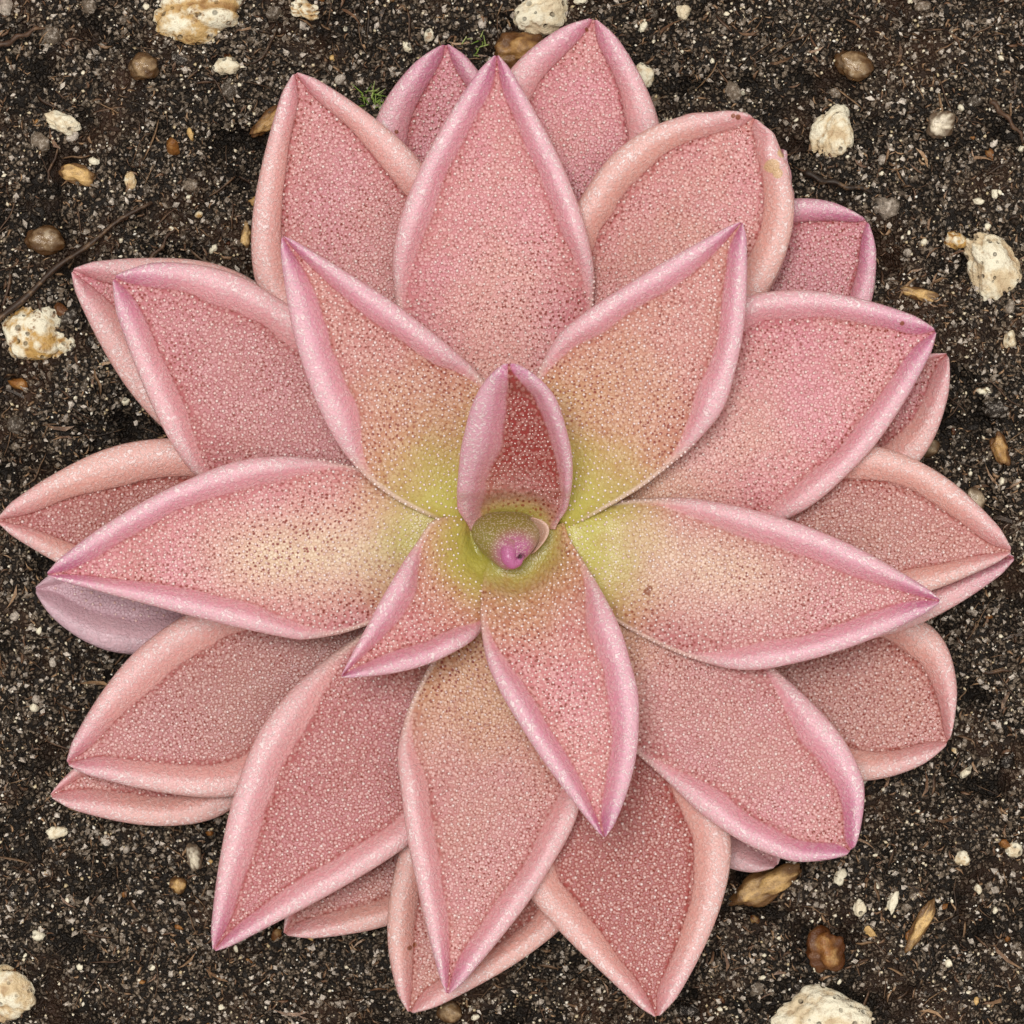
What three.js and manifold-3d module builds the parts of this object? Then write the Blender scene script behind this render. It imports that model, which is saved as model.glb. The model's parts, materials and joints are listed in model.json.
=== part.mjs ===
// A butterwort (Pinguicula) rosette growing in gritty potting mix in a plain square clay pot.
// Millimetres, +Z up, origin on the ground under the middle of the pot.
import * as THREE from 'three';
import { mergeVertices } from 'three/addons/utils/BufferGeometryUtils.js';
import Module from 'manifold-3d';

const wasm = await Module();
wasm.setup();

// ---------------------------------------------------------------- driving dimensions
const POT_HEIGHT = 60;
const POT_RIM_HALF = 52.5; // half the width across the rim
const POT_BAND_HEIGHT = 13; // the thicker band round the rim
const POT_BAND_STEP = 2.3; // how far the band stands out from the wall
const POT_BASE_HALF = 42;
const POT_WALL = 4.9; // at the rim
const POT_BASE_WALL = 3.9;
const POT_FLOOR = 5;
const POT_CORNER = 16.5; // outer corner radius at the rim
const POT_BASE_CORNER = 13;
const POT_EDGE = 0.8; // rounding of the pot's edges
const DRAIN_RADIUS = 5;
const CLEARANCE = 0.3; // gap kept between neighbouring pieces

const SOIL_LEVEL = 56.5;
const SOIL_RELIEF = 0.4; // height of the soft waves of the surface
const SOIL_RINGS = [36, 30, 24, 18, 12, 7]; // circles on which the surface is laid out
const WAVES = [[0.19, 0.11, 0], [-0.07, 0.23, 1.3], [0.31, -0.27, 0.6]]; // radians per mm in x and y, phase
const CRUMB_COUNT = 34;
const CRUMB_SIZE = [0.7, 1.5]; // smallest and largest half-size
const CRUMB_FIELD = 44; // crumbs lie within this distance of the middle in x and y

const CROWN_RADIUS = 3;
const CROWN_DEPTH = 6; // how deep the crown stands in the mix
const ROOT_COUNT = 8;
const ROOT_LENGTH = 15;
const ROOT_RADIUS = [0.75, 0.3]; // where it leaves the crown, and at its end
const ROOT_SPREAD = [1.7, 5.3]; // distance from the axis, at the crown and at its end
const ROOT_HOLE_RADIUS = 6.8; // the plain hole that the roots fill, at its foot

const LEAF_FLOOR = SOIL_LEVEL + 1.2; // underside of the lowest leaves
const TIER_AT_CROWN = 1.15; // rise from one tier of leaves to the next, beside the crown
const TIER_AT_EDGE = 2.25; // the same rise far out
const TIER_SPREAD = 5; // distance over which the tiers spread apart
const TOP_TIER = 7;
const LEAF_START = 3.4; // distance of a leaf's foot from the axis
const BLADE = 0.7;
const CHANNEL = 0.25; // how much higher the margins lie than the midline
const ROLL_HEIGHT = 1.7; // a rolled-in margin, from the underside of the blade
const ROLL_WIDTH = 2.3;
const ROLL_GROWS = [0.1, 0.38]; // shares of the leaf's length over which the margin rolls in
const EDGE_CURL = 1.2; // upward sweep of the whole rosette at its rim
const TIP_LIFT = 0.35; // further lift of a leaf's tip, for each tier

// Leaves from the youngest to the oldest. Azimuths are anticlockwise from +X, seen from above.
// A side gives the half-width at the foot, the greatest half-width, how far along the leaf that
// lies (0 foot, 1 tip) and how full the outline stays towards the tip (1 straight, more is rounder).
const LEAVES = [
  { azimuth: 91, reach: 12.7, tier: 7, left: [3.4, 3.9, 0.15, 1.7], right: [3.4, 4.5, 0.3, 2],
    start: 2.1, rolls: [3.2, 2.4], lift: 9, clasp: 0 },
  { azimuth: 218.5, foot: 212, reach: 16.6, tier: 5.9,
    left: [1.2, 4.4, 0.32, 1.7], right: [3.6, 4.7, 0.13, 1.05] },
  { azimuth: 287.3, foot: 285, reach: 23.4, tier: 6.8,
    left: [4.4, 6.0, 0.38, 2.3], right: [2.9, 4.5, 0.31, 1.4],
    start: 2.4 },
  { azimuth: 54.2, reach: 30.1, tier: 5, left: [1.8, 6.4, 0.44, 1.2], right: [2.3, 7.3, 0.5, 1.6] },
  { azimuth: 127, reach: 29.2, tier: 5, left: [1.9, 6.3, 0.36, 1.8], right: [1.7, 5.7, 0.34, 1.35] },
  { azimuth: 184.2, reach: 36.0, tier: 4, left: [1.9, 6.5, 0.42, 1.1], right: [1.9, 7.9, 0.46, 1.7] },
  { azimuth: 352, reach: 33.4, tier: 4, left: [2.3, 5.2, 0.38, 1.9], right: [1.6, 7.5, 0.5, 1.6] },
  { azimuth: 91.8, reach: 37.8, tier: 3, left: [1.6, 8.7, 0.53, 1.6], right: [1.6, 7.2, 0.5, 1.5] },
  { azimuth: 261.9, reach: 35.7, tier: 3, left: [1.6, 8.1, 0.52, 1.35], right: [1.6, 6.5, 0.44, 1.3] },
  { azimuth: 26.3, reach: 36.8, tier: 3, left: [1.6, 9.2, 0.58, 1.9], right: [1.6, 8.1, 0.52, 1.7] },
  { azimuth: 317.5, reach: 35.8, tier: 3, left: [1.6, 7.3, 0.55, 2.8], right: [1.6, 6.5, 0.5, 2.6] },
  { azimuth: 146.6, reach: 37.1, tier: 3, left: [1.6, 9.4, 0.58, 1.35], right: [1.6, 6.3, 0.6, 2.8] },
  { azimuth: 234, reach: 39.8, tier: 2, left: [1.4, 7.8, 0.55, 1.15], right: [1.6, 7.4, 0.54, 1.5] },
  { azimuth: 114.9, reach: 40.4, tier: 2, left: [1.6, 9.8, 0.62, 1.5], right: [1.6, 7.0, 0.55, 1.9] },
  { azimuth: 60, reach: 38.5, tier: 2, left: [1.6, 8.9, 0.6, 2.9], right: [1.6, 7.7, 0.64, 2.9] },
  { azimuth: 177.8, reach: 40.4, tier: 2, left: [1.6, 6.3, 0.6, 1.6], right: [1.6, 7.0, 0.62, 1.9] },
  { azimuth: 286.9, reach: 39.1, tier: 2, left: [1.6, 9.8, 0.64, 1.7], right: [1.6, 7.0, 0.64, 1.2] },
  { azimuth: 358.7, reach: 39.2, tier: 2, left: [1.6, 8.1, 0.66, 1.9], right: [1.6, 5.1, 0.62, 1.5] },
  { azimuth: 206.7, reach: 39.4, tier: 1, left: [1.4, 8.4, 0.68, 1.35], right: [1.4, 6.4, 0.6, 1.9] },
  { azimuth: 358, foot: 350, reach: 39.8, tier: 1,
    left: [0.8, 3.2, 0.6, 1.6], right: [0.8, 6.8, 0.66, 1.6] },
  { azimuth: 81.1, foot: 90, reach: 41.7, tier: 1,
    left: [0.8, 7.2, 0.7, 2.5], right: [0.8, 7.3, 0.7, 2] },
  { azimuth: 23.1, foot: 28, reach: 37.5, tier: 1,
    left: [0.8, 2.8, 0.6, 1.6], right: [0.8, 7.8, 0.72, 2.4] },
  { azimuth: 148.5, reach: 40.8, tier: 1, left: [1.4, 8.0, 0.62, 1.6], right: [1.4, 8.0, 0.66, 1.8] },
  { azimuth: 257.8, reach: 38.3, tier: 1, left: [1.4, 11.0, 0.7, 1.3], right: [1.4, 3.6, 0.7, 2.2] },
  { azimuth: 55.5, foot: 59, reach: 38.1, tier: 1,
    left: [0.8, 3.2, 0.66, 1.8], right: [0.8, 5.8, 0.68, 1.95] },
  { azimuth: 335.1, foot: 341, reach: 38.4, tier: 0,
    left: [0.8, 8.4, 0.75, 3.4], right: [0.8, 7.2, 0.7, 2.9] },
  { azimuth: 97.6, reach: 39.9, tier: 0, left: [1.4, 7.6, 0.68, 2.7], right: [1.4, 4.8, 0.6, 2.8] },
  { azimuth: 41.9, reach: 38.1, tier: 0, left: [1.4, 6.8, 0.7, 3.4], right: [1.4, 6.8, 0.65, 2.8] },
  { azimuth: 185.9, foot: 176, reach: 38.3, tier: 0,
    left: [0.8, 6.4, 0.68, 2.9], right: [0.8, 4.8, 0.6, 1.6] },
  { azimuth: 240, foot: 247, reach: 36.4, tier: 0,
    left: [0.8, 9.6, 0.68, 1.75], right: [0.8, 2.8, 0.66, 1.6] },
  { azimuth: 209, foot: 213, reach: 42.1, tier: 0,
    left: [0.8, 8.0, 0.7, 1.7], right: [0.8, 2.8, 0.66, 1.6] },
  { azimuth: 309, foot: 302, reach: 33.6, tier: 0, left: [0.8, 3.4, 0.6, 2], right: [0.8, 6.0, 0.66, 2] },
];
// How slender the lower part of a leaf is, for each tier: the oldest leaves are stalk-like there.
const WAISTS = [2.2, 2.2, 1.35, 1.35];
const LEAF_STATIONS = [0, 0.12, 0.25, 0.38, 0.52, 0.66, 0.79, 0.9, 0.97];

// Lumps of expanded perlite and pumice that lie in the surface: place, half-sizes, turn in degrees.
const STONES = [
  { x: -25.1, y: 42.4, size: [3.7, 2.2, 1.9], turn: 12, seed: 3 },
  { x: 2.4, y: 42.3, size: [2.2, 1.8, 1.6], turn: 30, seed: 11 },
  { x: 25.9, y: 32.6, size: [1.6, 2.1, 1.3], turn: -20, seed: 5 },
  { x: 38.9, y: 22.0, size: [2.1, 3.0, 1.6], turn: 14, seed: 8, bend: 0.34 },
  { x: -38.6, y: 16.6, size: [2.3, 2.2, 1.6], turn: 50, seed: 21, nub: [0.9, -2.1] },
  { x: 25.0, y: -39.2, size: [3.7, 2.6, 1.9], turn: 8, seed: 14 },
  { x: -40.6, y: -36.6, size: [2.0, 2.4, 1.5], turn: 25, seed: 17 },
];
const STONE_SUNK = 0.35; // share of its height by which a stone's middle lies under the surface

// ---------------------------------------------------------------- small tools
const radians = THREE.MathUtils.degToRad;
const smoothstep = THREE.MathUtils.smoothstep;

/** A point in plan at a distance from the axis, in a direction in degrees. */
function polar(distance, azimuth) {
  return new THREE.Vector2(distance * Math.cos(radians(azimuth)), distance * Math.sin(radians(azimuth)));
}

/** Repeatable random numbers from 0 to 1. */
function randomSource(seed) {
  let state = seed;
  return () => {
    state = (state * 1664525 + 1013904223) % 4294967296;
    return state / 4294967296;
  };
}

/** Six times the volume inside a triangle mesh, positive when its faces point out. */
function signedVolume(positions, indices) {
  const [a, b, c] = [new THREE.Vector3(), new THREE.Vector3(), new THREE.Vector3()];
  let sum = 0;
  for (let i = 0; i < indices.length; i += 3) {
    a.fromArray(positions, indices[i] * 3);
    b.fromArray(positions, indices[i + 1] * 3);
    c.fromArray(positions, indices[i + 2] * 3);
    sum += a.dot(b.cross(c));
  }
  return sum;
}

/** A BufferGeometry with its faces turned outwards. */
function geometryOf(positions, indices) {
  const geometry = new THREE.BufferGeometry();
  if (signedVolume(positions, indices) < 0) {
    for (let i = 0; i < indices.length; i += 3) {
      [indices[i + 1], indices[i + 2]] = [indices[i + 2], indices[i + 1]];
    }
  }
  geometry.setAttribute('position', new THREE.Float32BufferAttribute(positions, 3));
  geometry.setIndex(indices);
  return geometry;
}

/**
 * A closed body through rings of equally many points. Each end is shut by a point of its own,
 * or, where `joined` is set, the last ring runs back into the first.
 */
function loft(rings, { first = null, last = null, joined = false } = {}) {
  const count = rings[0].length;
  const positions = rings.flat().flatMap((p) => [p.x, p.y, p.z]);
  const indices = [];
  const bands = joined ? rings.length : rings.length - 1;
  for (let i = 0; i < bands; i += 1) {
    const near = i * count;
    const far = ((i + 1) % rings.length) * count;
    for (let j = 0; j < count; j += 1) {
      const next = (j + 1) % count;
      indices.push(near + j, near + next, far + next);
      indices.push(near + j, far + next, far + j);
    }
  }
  if (!joined) {
    const ends = [[0, first], [(rings.length - 1) * count, last]];
    ends.forEach(([start, point], side) => {
      const apex = positions.length / 3;
      positions.push(point.x, point.y, point.z);
      for (let j = 0; j < count; j += 1) {
        const [from, to] = [start + j, start + ((j + 1) % count)];
        indices.push(...(side === 0 ? [to, from, apex] : [from, to, apex]));
      }
    });
  }
  return geometryOf(positions, indices);
}

/** The middle of a ring. */
function middle(ring) {
  const sum = ring.reduce((total, p) => total.add(p), new THREE.Vector3());
  return sum.divideScalar(ring.length);
}

/** A geometry as a manifold-3d solid. */
function solidOf(geometry) {
  const bare = geometry.clone();
  bare.deleteAttribute('normal');
  bare.deleteAttribute('uv');
  const merged = mergeVertices(bare, 1e-4);
  return new wasm.Manifold(new wasm.Mesh({
    numProp: 3,
    vertProperties: new Float32Array(merged.attributes.position.array),
    triVerts: new Uint32Array(merged.index.array),
  }));
}

/** A manifold-3d solid as a geometry. */
function geometryFrom(solid) {
  const mesh = solid.getMesh();
  const positions = [];
  for (let i = 0; i < mesh.vertProperties.length; i += mesh.numProp) {
    positions.push(...mesh.vertProperties.slice(i, i + 3));
  }
  return geometryOf(positions, [...mesh.triVerts]);
}

// ---------------------------------------------------------------- rings of the pot and the mix
const ARC_STEPS = 5;
const SIDE_STEPS = [-0.5, 0, 0.5];

/** A rounded square: three points on the middle of each straight side, then the corner's arc. */
function squareRing(half, corner, height) {
  const points = [];
  const straight = half - corner;
  for (let quarter = 0; quarter < 4; quarter += 1) {
    const turn = (quarter * Math.PI) / 2;
    const place = (x, y) => points.push(new THREE.Vector3(x, y, height)
      .applyAxisAngle(new THREE.Vector3(0, 0, 1), turn));
    SIDE_STEPS.forEach((step) => place(half, step * straight));
    for (let i = 0; i <= ARC_STEPS; i += 1) {
      const angle = (i / ARC_STEPS) * (Math.PI / 2);
      place(straight + corner * Math.cos(angle), straight + corner * Math.sin(angle));
    }
  }
  return points;
}

/** A circle whose points lie in the same directions as those of the rounded squares. */
function circleRing(radius, height) {
  const inner = squareRing(POT_RIM_HALF - POT_WALL, POT_CORNER - POT_WALL, height);
  return inner.map((p) => new THREE.Vector3(p.x, p.y, 0).setLength(radius).setZ(height));
}

/** Half-width and corner radius of the pot's inner wall at a height. */
function innerWall(height) {
  const share = (height - POT_FLOOR) / (POT_HEIGHT - POT_FLOOR);
  return {
    half: THREE.MathUtils.lerp(POT_BASE_HALF - POT_BASE_WALL, POT_RIM_HALF - POT_WALL, share),
    corner: THREE.MathUtils.lerp(POT_BASE_CORNER - POT_BASE_WALL, POT_CORNER - POT_WALL, share),
  };
}

// ---------------------------------------------------------------- the pot
function potGeometry() {
  const bandFoot = POT_HEIGHT - POT_BAND_HEIGHT;
  const wallTop = POT_RIM_HALF - POT_BAND_STEP;
  const wallCorner = POT_CORNER - POT_BAND_STEP;
  const floor = innerWall(POT_FLOOR);
  const mouth = innerWall(POT_HEIGHT - POT_EDGE);
  const rings = [
    squareRing(POT_BASE_HALF - POT_EDGE, POT_BASE_CORNER - POT_EDGE, 0),
    squareRing(POT_BASE_HALF, POT_BASE_CORNER, POT_EDGE),
    squareRing(wallTop, wallCorner, bandFoot - POT_EDGE),
    squareRing(POT_RIM_HALF - POT_EDGE, POT_CORNER - POT_EDGE, bandFoot),
    squareRing(POT_RIM_HALF, POT_CORNER, bandFoot + POT_EDGE),
    squareRing(POT_RIM_HALF, POT_CORNER, POT_HEIGHT - POT_EDGE),
    squareRing(POT_RIM_HALF - POT_EDGE, POT_CORNER - POT_EDGE, POT_HEIGHT),
    squareRing(mouth.half + POT_EDGE, mouth.corner + POT_EDGE, POT_HEIGHT),
    squareRing(mouth.half, mouth.corner, POT_HEIGHT - POT_EDGE),
    squareRing(floor.half, floor.corner, POT_FLOOR),
    circleRing(DRAIN_RADIUS, POT_FLOOR),
    circleRing(DRAIN_RADIUS, 0),
  ];
  return loft(rings, { joined: true });
}

// ---------------------------------------------------------------- the potting mix
/** Height of the mix's surface: three crossing waves, flattened beside the crown. */
function soilHeight(x, y) {
  const wave = WAVES.reduce((sum, [u, v, phase]) => sum + Math.sin(u * x + v * y + phase), 0);
  const calm = smoothstep(Math.hypot(x, y), 4, 18);
  return SOIL_LEVEL + (SOIL_RELIEF / WAVES.length) * wave * calm;
}

/** An uneven lump: an icosahedron whose points are pushed in and out by a sine of their place. */
function lumpGeometry({ size, seed, detail, bend = 0, grow = 0 }) {
  const lump = new THREE.IcosahedronGeometry(1, detail);
  const p = new THREE.Vector3();
  const position = lump.attributes.position;
  for (let i = 0; i < position.count; i += 1) {
    p.fromBufferAttribute(position, i);
    const push = Math.sin(p.x * 3.1 + seed) * Math.sin(p.y * 2.7 + seed * 1.7)
      + 0.6 * Math.sin(p.z * 4.3 + p.x * 2.2 + seed * 0.6);
    p.multiplyScalar(1 + 0.13 * push);
    p.set(p.x * (size[0] + grow), p.y * (size[1] + grow), p.z * (size[2] + grow));
    p.x -= bend * (p.y * p.y) / size[1];
    position.setXYZ(i, p.x, p.y, p.z);
  }
  return lump;
}

/** A stone's body, `grow` larger than itself on every side. */
function stoneSolid(stone, grow) {
  let solid = solidOf(lumpGeometry({ ...stone, detail: 1, grow }));
  if (stone.nub) {
    const nubSize = stone.size.map((half) => half * 0.62);
    const nub = solidOf(lumpGeometry({ size: nubSize, seed: stone.seed + 4, detail: 1, grow }));
    solid = solid.add(nub.translate([stone.nub[0], stone.nub[1], -0.3]));
  }
  const height = soilHeight(stone.x, stone.y) + stone.size[2] * (1 - 2 * STONE_SUNK);
  return solid.rotate([0, 0, stone.turn]).translate([stone.x, stone.y, height - stone.size[2] * 0.5]);
}

/** The block of mix: a waved top, walls that follow the pot, and the hole for crown and roots. */
function soilBlock() {
  const foot = POT_FLOOR + CLEARANCE;
  const wall = (height) => {
    const { half, corner } = innerWall(height);
    return squareRing(half - CLEARANCE, corner - CLEARANCE, height);
  };
  const onSurface = (ring) => ring.map((p) => p.setZ(soilHeight(p.x, p.y)));
  const crownHole = CROWN_RADIUS + CLEARANCE + 0.1;
  const holeFoot = SOIL_LEVEL - CROWN_DEPTH - ROOT_LENGTH - 1;
  const bottom = wall(foot);
  const holeEnd = circleRing(ROOT_HOLE_RADIUS, holeFoot);
  const rings = [
    bottom,
    onSurface(wall(SOIL_LEVEL)),
    onSurface(squareRing(41, 13, 0)),
    ...[...SOIL_RINGS, crownHole].map((radius) => onSurface(circleRing(radius, 0))),
    circleRing(crownHole, SOIL_LEVEL - CROWN_DEPTH + 0.5),
    holeEnd,
  ];
  return solidOf(loft(rings, { first: middle(bottom), last: middle(holeEnd) }));
}

/** Coarse crumbs and chips of bark that stand out of the surface between rosette and wall. */
function crumbSolids() {
  const random = randomSource(7);
  const crumbs = [];
  while (crumbs.length < CRUMB_COUNT) {
    const x = THREE.MathUtils.lerp(-CRUMB_FIELD, CRUMB_FIELD, random());
    const y = THREE.MathUtils.lerp(-CRUMB_FIELD, CRUMB_FIELD, random());
    const radius = THREE.MathUtils.lerp(...CRUMB_SIZE, random());
    const clearOfLeaves = Math.hypot(x, y) > 45;
    const clearOfCorner = Math.hypot(Math.max(Math.abs(x) - 35, 0), Math.max(Math.abs(y) - 35, 0)) < 9;
    const clearOfStones = STONES.every((s) => Math.hypot(x - s.x, y - s.y) > 6.5);
    if (clearOfLeaves && clearOfCorner && clearOfStones) {
      const size = [radius * (1 + random() * 0.6), radius, radius * 0.8];
      const crumb = solidOf(lumpGeometry({ size, seed: crumbs.length, detail: 0 }));
      crumbs.push(crumb.rotate([0, 0, random() * 360])
        .translate([x, y, soilHeight(x, y) + radius * 0.1]));
    }
  }
  return crumbs;
}

function soilGeometry() {
  let soil = crumbSolids().reduce((block, crumb) => block.add(crumb), soilBlock());
  STONES.forEach((stone) => {
    soil = soil.subtract(stoneSolid(stone, CLEARANCE));
  });
  return geometryFrom(soil);
}

// ---------------------------------------------------------------- crown, roots and bud
const CROWN_SIDES = 14;
const CROWN_TOP = LEAF_FLOOR + TOP_TIER * TIER_AT_CROWN + 0.1;
const BUD_SIDES = 14;
// The bud from its foot up: share of its full width, height over the foot, shift along y.
const BUD_PROFILE = [
  [0.42, 0, 0], [0.74, 0.6, 0], [0.96, 1.5, 0], [0.98, 2.4, 0], [0.8, 3.3, -0.15], [0.42, 3.9, -0.4],
];
const BUD_HEIGHT = 4.1;
const BUD_HALF_WIDTH = 3.15;
const BUD_DEPTH = [2.3, 1.75]; // towards -Y and towards +Y

function roundRing(radius, height, sides, x = 0, y = 0) {
  return Array.from({ length: sides }, (_, i) => {
    const angle = (i / sides) * 2 * Math.PI;
    return new THREE.Vector3(x + radius * Math.cos(angle), y + radius * Math.sin(angle), height);
  });
}

/** One fleshy root: it leaves the crown's foot, spreads and tapers on the way down. */
function rootGeometry(index) {
  const angle = (index / ROOT_COUNT) * 2 * Math.PI + 0.3 * Math.sin(index * 2.4);
  const top = SOIL_LEVEL - CROWN_DEPTH + 1.5;
  const length = ROOT_LENGTH * (0.86 + 0.12 * Math.sin(index * 1.9));
  const steps = 5;
  const rings = Array.from({ length: steps + 1 }, (_, i) => {
    const share = i / steps;
    const out = THREE.MathUtils.lerp(...ROOT_SPREAD, share ** 0.9);
    const turn = angle + 0.22 * Math.sin(share * 5 + index);
    const radius = THREE.MathUtils.lerp(...ROOT_RADIUS, share);
    const height = top - share * (length + 1.5);
    return roundRing(radius, height, 6, out * Math.cos(turn), out * Math.sin(turn));
  });
  return loft(rings, { first: middle(rings[0]), last: middle(rings[steps]) });
}

function crownGeometry() {
  const foot = SOIL_LEVEL - CROWN_DEPTH;
  const shoulder = LEAF_FLOOR + 6.2 * TIER_AT_CROWN;
  const rings = [
    roundRing(2.4, foot, CROWN_SIDES),
    roundRing(CROWN_RADIUS, foot + 1, CROWN_SIDES),
    roundRing(CROWN_RADIUS, shoulder, CROWN_SIDES),
    roundRing(1.6, CROWN_TOP - 0.25, CROWN_SIDES),
    roundRing(1.4, CROWN_TOP, CROWN_SIDES),
  ];
  let crown = solidOf(loft(rings, { first: middle(rings[0]), last: middle(rings[4]) }));
  for (let index = 0; index < ROOT_COUNT; index += 1) {
    crown = crown.add(solidOf(rootGeometry(index)));
  }
  return geometryFrom(crown);
}

/** Outline of the folded youngest leaves: broad towards +Y, drawn to a point towards -Y. */
function budRing(scale, height, shift) {
  return Array.from({ length: BUD_SIDES }, (_, i) => {
    const angle = (i / BUD_SIDES) * 2 * Math.PI;
    const [across, along] = [Math.cos(angle), Math.sin(angle)];
    const narrowing = along < 0 ? 1 - 0.4 * (-along) ** 1.4 : 1;
    const depth = along < 0 ? BUD_DEPTH[0] : BUD_DEPTH[1];
    const x = BUD_HALF_WIDTH * scale * across * narrowing;
    return new THREE.Vector3(x, depth * scale * along + shift, height);
  });
}

function budGeometry() {
  const foot = CROWN_TOP + CLEARANCE;
  const rings = BUD_PROFILE.map(([scale, height, shift]) => budRing(scale, foot + height, shift));
  const top = middle(rings[rings.length - 1]).setZ(foot + BUD_HEIGHT);
  const bud = solidOf(loft(rings, { first: middle(rings[0]), last: top }));
  const curl = solidOf(lumpGeometry({ size: [0.6, 0.55, 0.6], seed: 2, detail: 1 }));
  return geometryFrom(bud.add(curl.translate([0.1, -1.75, foot + 3.2])));
}

// ---------------------------------------------------------------- the leaves
/** Underside of a tier of leaves at a distance from the axis. */
function tierHeight(radius, tier) {
  const spread = Math.max(0, 1 - Math.exp(-(radius - LEAF_START) / TIER_SPREAD));
  const rise = TIER_AT_CROWN + (TIER_AT_EDGE - TIER_AT_CROWN) * spread;
  return LEAF_FLOOR + tier * rise + EDGE_CURL * (radius / 40) ** 4;
}

/** Half-width of one side of a leaf: a sine up to its widest place, then a curve to the tip. */
function halfWidth([foot, widest, place, fullness], waist, along) {
  if (along <= place) {
    return foot + (widest - foot) * Math.sin((Math.PI / 2) * (along / place)) ** waist;
  }
  return widest * (1 - ((along - place) / (1 - place)) ** fullness);
}

/** Where a point of a leaf lies, by its share of the length, distance to the left and height. */
function leafPlace(leaf, along, across, height) {
  const start = leaf.start ?? LEAF_START;
  const foot = polar(start, leaf.foot ?? leaf.azimuth);
  const tip = polar(leaf.reach, leaf.azimuth);
  const axis = tip.clone().sub(foot);
  const length = axis.length();
  axis.normalize();
  const inset = Math.sqrt(Math.max(start ** 2 - across ** 2, (start / 2) ** 2));
  const clasp = (leaf.clasp ?? 1) * (start - inset) * (1 - along) ** 3;
  const reach = along * length - clasp;
  const x = foot.x + axis.x * reach - axis.y * across;
  const y = foot.y + axis.y * reach + axis.x * across;
  const lift = leaf.lift ? leaf.lift * along ** 1.2 : TIP_LIFT * leaf.tier * along ** 4;
  return new THREE.Vector3(x, y, tierHeight(Math.hypot(x, y), leaf.tier) + lift + height);
}

/** Twelve points round a leaf: its underside, one rolled margin, its upper face, the other margin. */
function leafRing(leaf, along) {
  const waist = WAISTS[leaf.tier] ?? 1;
  const step = 0.03;
  const ahead = leafPlace(leaf, Math.min(1, along + step), 0, 0);
  const behind = leafPlace(leaf, Math.max(0, along - step), 0, 0);
  const slope = (ahead.z - behind.z) / Math.hypot(ahead.x - behind.x, ahead.y - behind.y);
  const upright = Math.hypot(1, slope); // a steep blade keeps its thickness
  const grown = smoothstep(along, ...ROLL_GROWS);
  const margin = (side, sign, widest) => {
    const half = halfWidth(side, waist, along);
    const roll = Math.min(widest, 0.85 * half);
    const top = BLADE + (ROLL_HEIGHT - BLADE) * grown * Math.min(1, half / 1.4);
    const at = (across, height) => leafPlace(leaf, along, sign * across,
      (CHANNEL * (across / half) ** 2 + height) * upright);
    return [
      at(half * 0.45, 0),
      at(half - 0.35 * roll, 0),
      at(half, 0.45 * top),
      at(half - 0.45 * roll, top),
      at(half - roll, BLADE + 0.25 * (top - BLADE)),
    ];
  };
  const [leftRoll, rightRoll] = leaf.rolls ?? [ROLL_WIDTH, ROLL_WIDTH];
  const left = margin(leaf.left, 1, leftRoll);
  const right = margin(leaf.right, -1, rightRoll);
  const under = leafPlace(leaf, along, 0, 0);
  const upper = leafPlace(leaf, along, 0, BLADE * upright);
  return [under, ...right, upper, ...left.reverse()];
}

function leafGeometry(leaf) {
  const rings = LEAF_STATIONS.map((along) => leafRing(leaf, along));
  const tip = leafPlace(leaf, 1, 0, 0.5 * BLADE);
  return loft(rings, { first: middle([rings[0][0], rings[0][6]]), last: tip });
}

// ---------------------------------------------------------------- materials and assembly
const finish = (color, roughness) => new THREE.MeshStandardMaterial({ color, roughness, metalness: 0 });
const CLAY = finish('#b06a48', 0.9);
const MIX = finish('#2a211c', 0.95);
const PERLITE = finish('#d9cba8', 0.85);
const CROWN = finish('#b9b276', 0.7);
const BUD = finish('#8f8a4a', 0.5);
const YOUNG_LEAF = finish('#d98a7e', 0.5);
const OLD_LEAF = finish('#cf8f86', 0.55);

const plant = new THREE.Group();

function addPiece(name, geometry, material) {
  const mesh = new THREE.Mesh(geometry, material);
  mesh.name = name;
  plant.add(mesh);
}

addPiece('pot', potGeometry(), CLAY);
addPiece('potting_mix', soilGeometry(), MIX);
STONES.forEach((stone, index) => {
  addPiece(`perlite_stone_${index + 1}`, geometryFrom(stoneSolid(stone, 0)), PERLITE);
});
addPiece('crown_and_roots', crownGeometry(), CROWN);
addPiece('bud', budGeometry(), BUD);
LEAVES.forEach((leaf, index) => {
  const material = leaf.tier >= 3 ? YOUNG_LEAF : OLD_LEAF;
  addPiece(`leaf_${String(index + 1).padStart(2, '0')}`, leafGeometry(leaf), material);
});

export default plant;
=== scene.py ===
"""Butterwort rosette in a square clay pot: every visible surface, round the fixed solids."""
import json
import logging
import math
from dataclasses import dataclass
from enum import Enum

import bpy
import numpy as np
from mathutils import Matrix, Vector
from numpy.typing import NDArray

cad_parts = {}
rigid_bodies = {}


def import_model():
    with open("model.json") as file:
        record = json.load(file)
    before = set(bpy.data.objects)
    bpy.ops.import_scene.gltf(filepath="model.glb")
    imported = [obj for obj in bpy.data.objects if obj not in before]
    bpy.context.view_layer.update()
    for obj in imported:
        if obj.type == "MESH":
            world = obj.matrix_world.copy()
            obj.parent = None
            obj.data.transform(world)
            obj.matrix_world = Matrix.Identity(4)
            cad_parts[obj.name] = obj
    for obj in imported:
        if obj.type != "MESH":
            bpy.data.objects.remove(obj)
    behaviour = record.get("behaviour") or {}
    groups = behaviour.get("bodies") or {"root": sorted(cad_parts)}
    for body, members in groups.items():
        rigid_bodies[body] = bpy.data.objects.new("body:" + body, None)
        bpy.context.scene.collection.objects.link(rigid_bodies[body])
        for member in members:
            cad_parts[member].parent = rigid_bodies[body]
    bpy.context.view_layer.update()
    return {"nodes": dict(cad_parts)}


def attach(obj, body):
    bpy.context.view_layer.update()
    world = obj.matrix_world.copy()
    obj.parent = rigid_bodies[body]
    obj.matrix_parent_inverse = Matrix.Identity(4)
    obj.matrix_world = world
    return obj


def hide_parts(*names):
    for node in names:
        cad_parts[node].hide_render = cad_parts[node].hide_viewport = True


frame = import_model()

Array = NDArray[np.float64]
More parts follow.
